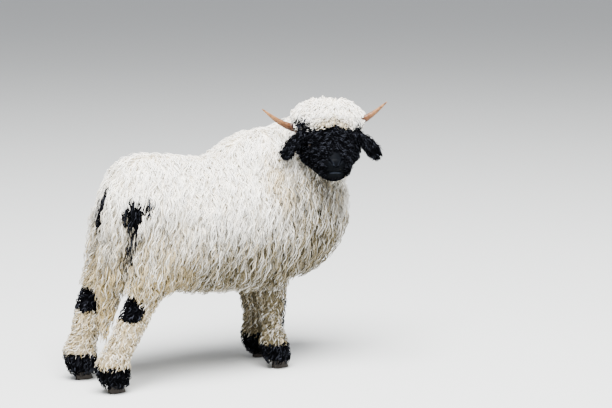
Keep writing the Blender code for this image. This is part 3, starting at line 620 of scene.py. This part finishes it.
# The rims of lips and nostrils: paler skin and a painted bluish highlight
dark = dark.to((0.02, 0.024, 0.033, 1), wool.attribute("rim"))
wool.feed(Base_Color=white.to(dark, wool.steps(black, 0.45, 0.6)))
wool.feed(Roughness=0.88 - bare * 0.22, Coat_Weight=bare * 0.015)
wool.bump(wool.noise(480.0, 2.0), 0.5, 0.002)
mark(skin, skin_points)
attribute(skin, "share", 0.2)
attribute(skin, "rim", rim_share(skin_points))
attribute(skin, "draw", 0.5)
wool.put(skin)
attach(skin, "root")
limbs = ("foreleg", "hindleg", "knee", "hock", "rump_patch", "foot_front", "foot_hind")
limbs = [f"{part}_{side}" for part in limbs for side in SIDES]
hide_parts("torso", "neck", "tail", "head", "forelock", *limbs)

# The wool: locks of fine, wavy strands that hang down the flanks from a parting along the spine, rooted in
# the skin. Each lock's strands lean together towards its tip. The legs have short curls instead.
dice = np.random.default_rng(11)
# Sides of a strand, and how deep its root lies in the skin
STRAND_SIDES, ROOTED = 3, 0.004


class Hide:
    """A skin that wool grows on. For each cell of space it knows the nearest of the skin's points: each cell
    starts with a point inside it, if any, and then takes over the choice of the cell so many cells away, over
    jumps that halve from 32 to 1, where that lies nearer."""

    def __init__(self, made, cell):
        mesh = made.data
        mesh.calc_loop_triangles()
        corners = np.empty(3 * len(mesh.loop_triangles), np.int32)
        mesh.loop_triangles.foreach_get("vertices", corners)
        self.corners = corners.reshape(-1, 3)
        self.points, self.normals = read_points(mesh) - ground, read_points(mesh, "normal")
        self.cell, self.low = cell, self.points.min(0) - 8 * cell
        self.size = np.ceil((self.points.max(0) + 8 * cell - self.low) / cell).astype(int)
        middle = np.stack(np.meshgrid(*[np.arange(n) for n in self.size], indexing="ij"), -1)
        middle = middle * cell + self.low + cell / 2
        chosen = np.zeros(self.size, np.int32)
        chosen[tuple(((self.points - self.low) / cell).astype(int).T)] = np.arange(len(self.points))
        gap = ((middle - self.points[chosen]) ** 2).sum(-1)
        for jump in (32, 16, 8, 4, 2, 1, 1):
            for axis, way in ((0, -jump), (0, jump), (1, -jump), (1, jump), (2, -jump), (2, jump)):
                other = np.roll(chosen, way, axis)
                other_gap = ((middle - self.points[other]) ** 2).sum(-1)
                chosen, gap = np.where(other_gap < gap, other, chosen), np.minimum(gap, other_gap)
        self.chosen = chosen

    def under(self, places):
        """The number of the skin's point that lies nearest to each place."""
        cells = np.clip(((places - self.low) / self.cell).astype(int), 0, self.size - 1)
        return self.chosen[tuple(cells.T)]

    def scattered(self, count, wanted, draw):
        """Count places drawn evenly over the skin where wanted gives 1, and fewer where it gives less."""
        corners = self.points[self.corners]
        area = reach_of(np.cross(corners[:, 1] - corners[:, 0], corners[:, 2] - corners[:, 0]))
        area = area * wanted(corners.mean(1))
        picked = corners[draw.choice(len(area), count, p=area / area.sum())]
        a, b = np.sqrt(draw.random(count)), draw.random(count)
        shares = np.stack([1 - a, a * (1 - b), a * b], 1)
        return (picked * shares[..., None]).sum(1)

    def walked(self, lie, roots, length, depth, steps, sway):
        """Paths of equal steps along lie, each step set at a height over the skin that grows to depth."""
        place = roots.copy()
        path, above = [], []
        for share in np.linspace(0, 1, steps):
            normal = self.normals[self.under(place)]
            if share > 0:
                way = lie(place, normal)
                way = unit(way + np.cross(normal, way) * (sway * math.sin(4.0 * share))[:, None])
                place = place + way * (length / (steps - 1))[:, None]
            near = self.under(place)
            normal = self.normals[near]
            wanted = (depth + ROOTED) * min(1, (share / 0.45) ** 0.7) - ROOTED
            height = ((place - self.points[near]) * normal).sum(1)
            place = place + normal * (wanted - height)[:, None]
            path.append(place)
            above.append(normal)
        return np.stack(path, 1), np.stack(above, 1)


hide = Hide(skin, 0.01)


def along_skin(ways, normals):
    """Ways laid flat on the skin, each one long."""
    return unit(ways - normals * (ways * normals).sum(1)[:, None])


def hanging(places, normals):
    """The lie of the fleece: down, outwards from the parting along the spine, and a little to the tail."""
    parted = np.clip(places[:, 0] / 0.05, -1, 1)
    flat = np.maximum(0, normals[:, 2])
    return along_skin(np.stack([1.3 * parted * flat, 0.16 + 0.3 * flat, -1.0 + 0 * flat], 1), normals)


def rooted(hide, count, wanted, length, depth):
    """Count roots where wanted gives 1, and lengths and depths drawn for them between two bounds."""
    roots = hide.scattered(count, wanted, dice)
    return roots, dice.uniform(*length, count), dice.uniform(*depth, count)


def locks(hide, lie, grown, swing, steps=6, each=1, spread=0.0, waves=(0.7, 1.1), turn=0.8, sway=1.0):
    """Strands of locks. Each lock's strands start spread round its root and lean together towards its tip,
    and swing sideways by a sine and up and down by a share of the cosine, growing from the root on."""
    count = len(grown[0])
    path, above = hide.walked(lie, *grown, steps, dice.uniform(-sway, sway, count))
    lock = np.repeat(np.arange(count), each)
    across = np.cross(unit(np.gradient(path, axis=1)), above)[lock]
    path, above = path[lock], above[lock]
    share = np.linspace(0, 1, steps)
    offset = dice.normal(0, spread, (len(lock), 2, 1)) * (1.15 - 0.85 * share)
    path = path + across * offset[:, 0, :, None]
    path = path + above * (0.5 * offset[:, 1] * np.minimum(1, share * 3))[..., None]
    phase = dice.uniform(0, 2 * math.pi, count)[lock] + dice.normal(0, 0.6, len(lock))
    angle = 2 * math.pi * dice.uniform(*waves, count)[lock][:, None] * share + phase[:, None]
    across = np.cross(unit(np.gradient(path, axis=1)), above)
    size = np.minimum(1, share * 4) * swing
    path = path + across * (size * np.sin(angle))[..., None]
    return path + above * (turn * size * np.cos(angle))[..., None], above


def strands(name, path, above, half, flatness):
    """Closed three-sided strands along paths, widest a third of the way and drawn out to a point."""
    count, steps = path.shape[:2]
    share = np.linspace(0, 1, steps)
    girth = (0.62 + 0.38 * np.sin(np.minimum(1, share * 2.2) * math.pi / 2)) * (1 - 0.7 * share**2.2)
    along = unit(np.gradient(path, axis=1))
    across = unit(np.cross(along, above))
    lifted = np.cross(across, along)
    half = dice.uniform(*half, count)
    angle = dice.random(count)[:, None, None] * 2 * math.pi
    angle = angle + np.arange(STRAND_SIDES) * 2 * math.pi / STRAND_SIDES
    wide = half[:, None, None] * girth[None, :, None]
    ring = path[:, :, None] + across[:, :, None] * (wide * np.cos(angle))[..., None]
    ring = ring + lifted[:, :, None] * (wide * flatness * np.sin(angle))[..., None]
    ends = path[:, -1] + along[:, -1] * (half * 1.5)[:, None]
    points = np.concatenate([ring.reshape(count, -1, 3), ends[:, None]], 1)
    walls = lathe_faces(steps, STRAND_SIDES)
    last = (steps - 1) * STRAND_SIDES + np.arange(STRAND_SIDES)
    point = np.stack([last, np.roll(last, -1), np.full(STRAND_SIDES, steps * STRAND_SIDES)], 1)
    faces = np.vstack([walls[:, [0, 1, 2]], walls[:, [0, 2, 3]], point, [[2, 1, 0]]])
    faces = faces[None] + (np.arange(count) * points.shape[1])[:, None, None]
    made = piece(name, points.reshape(-1, 3), faces.reshape(-1, 3))
    attribute(made, "share", np.tile(np.append(np.repeat(share, STRAND_SIDES), 1.0), count))
    return made


def unrolled(roots, start, end):
    """The skin unrolled round a line from start to end: the angle round it and the way along it, 0 to 1."""
    line = np.array(end) - np.array(start)
    way = unit(line)
    level = unit(np.cross(way, (0.3, 0.2, 1.0) if abs(way[2]) < 0.9 else (1.0, 0, 0)))
    offset = roots - np.array(start)
    angle = np.arctan2(offset @ np.cross(way, level), offset @ level)
    along = offset @ way / reach_of(line)
    return np.clip(np.stack([angle / (2 * math.pi) + 0.5, along], 1), 0.0, 0.99)


def coat(name, path, above, line, slot, half=(0.0011, 0.0021), flatness=0.7, marked_at=0):
    """A piece of strands of half a width between bounds, each with a draw of its own and the markings of one
    of its steps. On the map that the export bakes on, each is a patch 0.003 across at its root's place on the
    skin unrolled round a line."""
    made = strands(name, path, above, half, flatness)
    roots, each = path[:, 0], len(made.data.vertices) // len(path)
    mark(made, path[:, marked_at])
    attribute(made, "draw", np.repeat(dice.random(len(roots)), each))
    patch = np.array([(k // STRAND_SIDES, k % STRAND_SIDES) for k in range(each)], float)
    patch = patch / patch.max(0) * 0.003
    places = (unrolled(roots, *line)[:, None] + patch).reshape(-1, 2)
    corners = np.empty(len(made.data.loops), np.int32)
    made.data.loops.foreach_get("vertex_index", corners)
    baked_on = made.data.uv_layers.new(name="OFBake")
    baked_on.data.foreach_set("uv", places[corners].astype(np.float32).ravel())
    wool.put(made)
    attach(made, "root")
    return made


EARS = {
    "left": (at_head((-0.022, 0.082, 0.046)), at_head((0.01, 0.17, -0.034))),
    "right": (at_head((-0.024, -0.084, 0.05)), at_head((0.058, -0.166, 0.008))),
}


def beside_ears(points):
    """The distance to the nearer ear's middle line, for each of the points."""
    gaps = []
    for start, end in EARS.values():
        way = end - start
        share = np.clip((points - start) @ way / way.dot(way), 0.2, 1)
        gaps.append(reach_of(points - start - share[..., None] * way))
    return np.minimum(*gaps)


def fleece_depth(points):
    """How far the wool reaches over the skin: less over the back and on the legs."""
    z = points[:, 2]
    depth = WOOL_DEPTH - 0.01 * between(z, 0.6, 0.7)
    return LEG_WOOL + (depth - LEG_WOOL) * between(z, 0.3, 0.38)


def on_tail(points):
    """1 on the tail under the fleece's hem."""
    x, y = points.T[:2]
    return (1 - between(np.abs(x), 0.05, 0.06)) * between(y, 0.235, 0.245)


POLL = at_head((-0.045, 0, 0))


def fleece_ground(points):
    """Where the long wool grows: all of the trunk, neck, thighs and tail, but not the head, crown or legs."""
    hem = np.maximum(between(points[:, 2], 0.3, 0.33), on_tail(points))
    near_head = 1 - between(reach_of(points - POLL), 0.1, 0.2)
    denser = 1 + 0.4 * between(points[:, 2], 0.6, 0.72) + 1.3 * near_head
    return (1 - head_share(points)) * (1 - crown_share(points)) * hem * denser


roots, length, depth = rooted(hide, 8200, fleece_ground, (0.0525, 0.084), (0.3, 1.2))
off_head = between(reach_of(roots - POLL), 0.08, 0.17)
length = length * (0.4 + 0.6 * off_head)
length = length * (0.4 + 0.6 * np.maximum(between(roots[:, 2], 0.3, 0.42), 0.7 * on_tail(roots)))
depth = depth * fleece_depth(roots) * (0.5 + 0.5 * off_head)
depth = depth + 0.01 * between(-roots[:, 1], 0.4, 0.55) * off_head
pressed = 1 - between(beside_ears(roots), 0.03, 0.06)
grown = roots, length * (1 - 0.35 * pressed), depth * (1 - 0.75 * pressed)
path, above = locks(
    hide, hanging, grown, swing=0.0044, steps=7, each=3, spread=0.006, waves=(0.9, 1.35), turn=0.6, sway=0.5
)
clear = beside_ears(path).min(1) > 0.017
path, above = path[clear], above[clear]
roots = path[:, 0]
BODY_LINE = ((0, 0.34, 0.52), (0, -0.64, 0.52))
# Bands of the fleece along y. The markings are read at the roots in front and half down the strands behind.
BANDS = ("rump", "loin", "ribs", "shoulder", "breast")
EDGES = (1, 0.12, -0.08, -0.26, -0.42, -1)
for name, back, front in zip(BANDS, EDGES, EDGES[1:]):
    for side, on_side in (("left", roots[:, 0] > 0), ("right", roots[:, 0] <= 0)):
        here = on_side & (roots[:, 1] > front) & (roots[:, 1] <= back)
        grown, marked_at = (path[here], above[here]), 3 if front > -0.3 else 0
        coat(f"fleece_{name}_{side}", *grown, BODY_LINE, "wool", (0.0013, 0.0028), marked_at=marked_at)

# The legs' wool: short curls down to the hooves, white or cream above and black on the feet, where they hang
# over the claws. Each curl is one closed, wavy strand.
FEET = [("front", side, *foot) for side, foot in FRONT_LEGS.items()]
FEET += [("hind", side, *foot) for side, foot in HIND_FEET.items()]
for end, side, x, y in FEET:
    knee = HOCKS[side] if end == "hind" else (x, y)

    def on_leg(points, knee=knee, foot=(x, y)):
        """The skin of one leg under the fleece's hem."""
        z = points[:, 2]
        share = between(z, 0.1, 0.27)
        middle = np.array(foot) + np.outer(share, np.array(knee) - np.array(foot))
        near = reach_of(points[:, :2] - middle) < 0.085 + 0.05 * between(z, 0.27, 0.33)
        return near * between(z, 0.03, 0.04) * (1 - between(z, 0.3, 0.34))

    grown = rooted(hide, 1320, on_leg, (0.0192, 0.0312), (0.0072, 0.0132))
    path, above = locks(hide, hanging, grown, swing=0.0038, turn=0.9, sway=1.2)
    line = ((x, y, 0.0), (x, y, 0.36))
    kind = "foreleg" if end == "front" else "hindleg"
    coat(f"curls_{kind}_{side}", path, above, line, "wool", (0.0018, 0.003), 0.8, marked_at=2)

# The crown's wool: a mop of white locks that fall from the poll over the brow, the horns' roots and the nape.
# Its dust and grease are read at the strands' tips, which hang over the brow.
HEAD_LINE = (at_head((-0.16, 0, 0)), at_head((0.16, 0, 0)))


def falling(places, normals):
    """The lie of the crown's wool: away from the poll to all sides, and down."""
    away = of_head(places) - CROWN_AT
    away = np.stack([np.tanh((away[:, 0] + 0.03) / 0.025), away[:, 1] / 0.1, 0 * away[:, 2]], 1)
    return along_skin(away @ head_axes - np.array((0, 0, 0.45)), normals)


roots, length, depth = rooted(hide, 1300, crown_share, (0.7, 1.25), (0.0039, 0.0156))
hem = 1 - between(of_head(roots)[:, 0], -0.08, -0.03)
grown = roots, length * (0.018 + 0.02 * hem), depth
path, above = locks(hide, falling, grown, swing=0.0036, each=3, spread=0.005, sway=1.1)
clear = beside_ears(path).min(1) > 0.016
path, above = path[clear], above[clear]
made = coat("crown_locks", path, above, HEAD_LINE, "wool", (0.0014, 0.0026))
mark(made, path[:, -1], ("dust_and_shade", "yellow"))

# The face's wool: small black curls over brow, cheeks and jaw. They thin out over the nose, where the hair
# lies short and flat and is left to the skin, and keep clear of the eyes.
EYE_CLEAR = 0.0145


def backward(places, normals):
    """The lie of the face's wool: back from the nose and down."""
    return along_skin(-0.55 * head_axes[0] - np.array((0, 0, 0.8)), normals)


def curly_face(points):
    """Where the face's curls grow: on the head, but not under the crown or on the nose and lips."""
    return head_share(points) * (1 - crown_share(points)) * (1 - bare_share(points))


roots, length, depth = rooted(hide, 4700, curly_face, (0.0112, 0.0192), (0.0035, 0.0084))
short = 1 - 0.6 * bare_share(roots, 0.012)
full = 1 + 0.7 * between(-of_head(roots)[:, 0], -0.06, -0.01)
grown = roots, length * short * full**0.5, depth * short * full
path, above = locks(hide, backward, grown, swing=0.003, waves=(0.7, 1.15), sway=1.5)
on_head = of_head(path)
on_head[..., 1] = np.abs(on_head[..., 1])
from_eye = reach_of(on_head - (EYE_AT + (0.003, 0.014, -0.001))).min(1)
clear = (from_eye > EYE_CLEAR) & (crown_share(path[:, -1]) < 0.5) & (beside_ears(path).min(1) > 0.012)
path, above = path[clear], above[clear]
coat("curls_face", path, above, HEAD_LINE, "black_wool", flatness=0.8)

# The ears: drooping leaves of gristle and black skin, cupped to the front, with black wool all over. A row of
# EAR is the way along an ear, its half width and its half thickness.
EAR = (
    (0, 0.013, 0.009), (0.2, 0.016, 0.007), (0.5, 0.0195, 0.005), (0.8, 0.0215, 0.004), (0.95, 0.015, 0.003),
    (1, 0.007, 0.002),
)
for side, way_out in SIDES.items():
    ear_root, ear_tip = EARS[side]
    way = unit(ear_tip - ear_root)
    face = np.array((0.6, way_out * 0.2, 0.5)) @ head_axes
    face = unit(face - way * face.dot(way))
    across = np.cross(way, face)
    share, wide, thick = eased(EAR, 40).T
    share = np.clip(share, 0, 1)
    middle = ear_root + np.outer(share, ear_tip - ear_root) + np.outer(0.012 * np.sin(math.pi * share), face)
    rings = ovals(middle, across, face, wide, thick, thick, sides=40)
    aside = ((rings - middle[:, None]) @ across) / wide[:, None]
    cup = 0.01 * np.sin(math.pi * np.minimum(1, share * 1.1))[:, None] * (aside**2 - 0.45)
    ear = limb(f"ear_skin_{side}", rings + cup[..., None] * face)
    for marking, value in (("black", 1.0), ("share", 0.2), ("draw", 0.4)):
        attribute(ear, marking, value)
    wool.put(ear)
    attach(ear, "root")
    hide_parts(f"ear_{side}")
    ear_hide = Hide(ear, 0.006)

    def along_ear(places, normals, way=way):
        """The lie of the ear's wool: towards its tip and down."""
        return along_skin(way * 0.8 - np.array((0, 0, 0.5)), normals)

    grown = rooted(ear_hide, 980, lambda points: 1.0, (0.0114, 0.0247), (0.0021, 0.0091))
    path, above = locks(ear_hide, along_ear, grown, swing=0.0022, waves=(0.6, 1.0))
    made = coat(f"curls_ear_{side}", path, above, EARS[side], "black_wool")
    attribute(made, "black", 1.0)

# The eyes: a wet ball that bulges over a dark amber iris with a level pupil, set in black lids. The lids are
# one closed band round the almond opening, thick at its rim.
wet = Finish("eye", 0.08, Coat_Weight=1.0, Coat_Roughness=0.03)
iris_across, iris_up = wet.attribute("iris_across"), wet.attribute("iris_up")
far = (iris_across * iris_across + iris_up * iris_up).root()
amber = wet.colour((0.05, 0.02, 0.006))
amber = amber.to((0.016, 0.007, 0.003, 1), wet.steps(far, 0.45, 0.72))
amber = amber.to((0.1, 0.045, 0.012, 1), wet.steps(wet.noise(900.0), 0.55, 0.75) * 0.4)
pupil = wet.steps(iris_across.size() * 0.55 + iris_up.size() * 2.2, 0.42, 0.34)
amber = amber.to((0.004, 0.004, 0.005, 1), pupil)
wet.feed(Base_Color=amber.to((0.03, 0.02, 0.016, 1), wet.steps(far, 0.72, 0.8)))
rims = Finish("lid_skin", 0.55, Specular_IOR_Level=0.15)
lid_black = rims.colour((0.003, 0.003, 0.004))
rims.feed(Base_Color=lid_black.to((0.01, 0.009, 0.01, 1), rims.noise(300.0)))
rims.bump(rims.noise(500.0), 0.5, 0.001)
# Rows of a lid: degrees past the opening's edge, and height over the ball
LID = (
    (0, 0.0006), (2, 0.002), (7, 0.0032), (20, 0.004), (42, 0.0034), (62, -0.0005), (40, 0.0004),
    (10, 0.0003),
)
for side, way_out in SIDES.items():
    eye_middle = at_head(EYE_AT * (1, way_out, 1))
    out = unit(np.array((0.38, way_out * 0.9, 0.12)) @ head_axes)
    across = unit(np.cross(head_axes[2], out))
    lifted = np.cross(out, across)
    turn = np.linspace(0, math.pi, 40)
    bulge = 1 + 0.07 * (1 - between(turn, 0.25, 0.72))
    middles = eye_middle + np.outer(np.cos(turn) * bulge, out) * EYE_RADIUS
    wide = np.maximum(1e-5, np.sin(turn) * bulge * EYE_RADIUS)
    eye = limb(f"eyeball_{side}", ovals(middles, across, lifted, wide, wide, wide))
    offset = (read_points(eye.data) - ground - eye_middle) / EYE_RADIUS
    # 9 radii keep the ball's back out of the iris
    attribute(eye, "iris_across", offset @ across + 9 * (offset @ out <= 0))
    attribute(eye, "iris_up", offset @ lifted)
    wet.put(eye)
    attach(eye, "root")
    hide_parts(f"eye_{side}")
    turn = np.linspace(0, 2 * math.pi, 64, endpoint=False)
    opening = np.radians(50) * np.abs(np.cos(turn)) ** 1.3 + np.radians(27) * np.abs(np.sin(turn)) ** 1.1
    past, over = np.array(LID).T
    angle = np.minimum(opening[None] + np.radians(past)[:, None], np.radians(100))
    radius = (EYE_RADIUS * 1.03 + over)[:, None, None]
    level = np.cos(turn)[:, None] * across + np.sin(turn)[:, None] * lifted
    rings = eye_middle + radius * (np.cos(angle)[..., None] * out + np.sin(angle)[..., None] * level[None])
    walls = lathe_faces(len(LID) + 1, 64) % (len(LID) * 64)
    lid = piece(f"lids_{side}", rings.reshape(-1, 3), walls)
    outward(lid)
    rims.put(lid)
    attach(lid, "root")

# The horns: short sheaths of tan horn on the sides of the poll, sweeping outwards, up and back, flattened in
# front, ringed by growth and darker at the root.
HORNS = {
    "left": (
        (-0.05, 0.045, 0.046), (-0.056, 0.085, 0.055), (-0.062, 0.122, 0.067), (-0.07, 0.158, 0.089),
        (-0.083, 0.199, 0.124),
    ),
    "right": (
        (-0.05, 0.045, 0.032), (-0.056, 0.09, 0.034), (-0.061, 0.135, 0.042), (-0.069, 0.18, 0.065),
        (-0.084, 0.229, 0.1),
    ),
}
HORN_BASE, HORN_RINGS, HORN_SIDES = 0.0205, 9, 32
sheath = Finish("horn", 0.45, Specular_IOR_Level=0.3)
share, rib = sheath.attribute("share"), sheath.attribute("rib")
tan = sheath.colour((0.042, 0.013, 0.004))
tan = tan.to((0.1, 0.034, 0.008, 1), sheath.steps(share, 0.4, 0.58))
tan = tan.to((0.25, 0.115, 0.04, 1), sheath.steps(share, 0.55, 0.9))
grooves = sheath.steps(rib, 0.2, -0.8) * sheath.steps(share, 0.85, 0.35) * 0.7
tan = tan.to((0.03, 0.01, 0.004, 1), grooves)
streaks = sheath.steps(sheath.noise(70.0, 5.0), 0.48, 0.66) * 0.75
sheath.feed(Base_Color=tan.to((0.04, 0.013, 0.005, 1), streaks))
sheath.bump(sheath.noise(240.0, 4.0), 0.35, 0.001)
for side, way_out in SIDES.items():
    middle = at_head(eased(np.array(HORNS[side]) * (1, way_out, 1), 120))
    share = np.linspace(0, 1, len(middle))
    rib = np.cos(share * HORN_RINGS * 2 * math.pi)
    ridge = 1 + 0.07 * rib * (1 - share) ** 0.5 + 0.02 * np.cos(share * 61) * (1 - share)
    radius = (HORN_BASE * (1 - share) ** 0.8 + 0.0016) * ridge
    along = unit(np.gradient(middle, axis=0))
    broad = unit(np.cross(along, head_axes[0]))
    flat = radius * 0.82
    rings = ovals(middle, broad, np.cross(broad, along), radius, flat, flat, sides=HORN_SIDES)
    horn = limb(f"horn_sheath_{side}", rings)
    attribute(horn, "share", np.append(np.repeat(share, HORN_SIDES), (0, 1)))
    attribute(horn, "rib", np.append(np.repeat(rib, HORN_SIDES), (0, 0)))
    sheath.put(horn)
    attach(horn, "root")
    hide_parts(f"horn_{side}")

# The claws: two on each foot, of dark horn, flat along the cleft and bowed outside, with growth lines round
# them. The wool of the feet hangs over their tops.
hoof = Finish("hoof", 0.6, Specular_IOR_Level=0.25)
kind = {"wave_type": "BANDS", "bands_direction": "Z"}
lines = hoof.over_space("ShaderNodeTexWave", settings=kind, Scale=160.0, Distortion=2.0)
grey = hoof.colour((0.024, 0.02, 0.017)).to((0.05, 0.041, 0.033, 1), hoof.noise(60.0))
hoof.feed(Base_Color=grey.to((0.014, 0.012, 0.011, 1), hoof.steps(lines, 0.5, 0.9) * 0.5))
hoof.bump(lines, 0.4, 0.0012)
CLAW_LENGTH, CLAW_HALF, CLEFT_HALF, CLAW_TOP = 0.062, 0.0105, 0.0022, 0.04
up, angle = np.linspace(0, 1, 16)[:, None], np.arange(40) * 2 * math.pi / 40
c, s = np.cos(angle), np.sin(angle)
bowed = np.where(s > 0, 1.0, 0.3) * np.sign(s) * np.abs(s) ** 0.9 * (1 - 0.45 * np.maximum(0, -c) ** 3)
soft = 1 - 0.06 * np.exp(-up * 12)
from_cleft = CLEFT_HALF + 0.3 * CLAW_HALF + CLAW_HALF * bowed * soft * (1 - 0.1 * up)
back = 0.016 * up * (c < 0) * -c + CLAW_LENGTH / 2 * c * soft * (1 - 0.06 * up) - 0.026
for end, side, x, y in FEET:
    for which, way in (("inner", -SIDES[side]), ("outer", SIDES[side])):
        rings = np.stack([x + way * from_cleft, y + back, CLAW_TOP * up + 0 * back], -1)
        claw = limb(f"claw_horn_{end}_{side}_{which}", rings)
        hoof.put(claw)
        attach(claw, "root")
        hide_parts(f"claw_{end}_{side}_{which}")

# The ground and the light: a plain pale floor under a soft overcast sky, with two broad lamps. The floor gets
# paler between 14 and 110 m, so that low views show no horizon.
corners = np.array([(-400, -400, 0), (400, -400, 0), (400, 400, 0), (-400, 400, 0)])
floor = piece("floor", corners - ground, [(0, 1, 2, 3)])
pale = Finish("pale_floor", 0.9)
far = pale.over_space("ShaderNodeVectorMath", "Value", {"operation": "LENGTH"})
distant = pale.steps(far, 14.0, 110.0)
pale.feed(Base_Color=pale.colour((0.58, 0.59, 0.58)).to((0.94, 0.95, 0.95, 1), distant))
pale.put(floor)
world = bpy.data.worlds.new("sky")
bpy.context.scene.world = world
world.use_nodes = True
sky = world.node_tree.nodes["Background"].inputs
sky["Color"].default_value, sky["Strength"].default_value = (0.93, 0.95, 1.0, 1), 0.65
LAMPS = (("sky_lamp", (-3.0, 2.0, 8.0), 6.0, 5400), ("fill_lamp", (-6.0, -5.0, 4.0), 8.0, 350))
for name, place, size, power in LAMPS:
    lamp = bpy.data.objects.new(name, bpy.data.lights.new(name, "AREA"))
    lamp.data.size, lamp.data.energy = size, power
    aimed(lamp, place, np.array((0, 0, 0.5)))
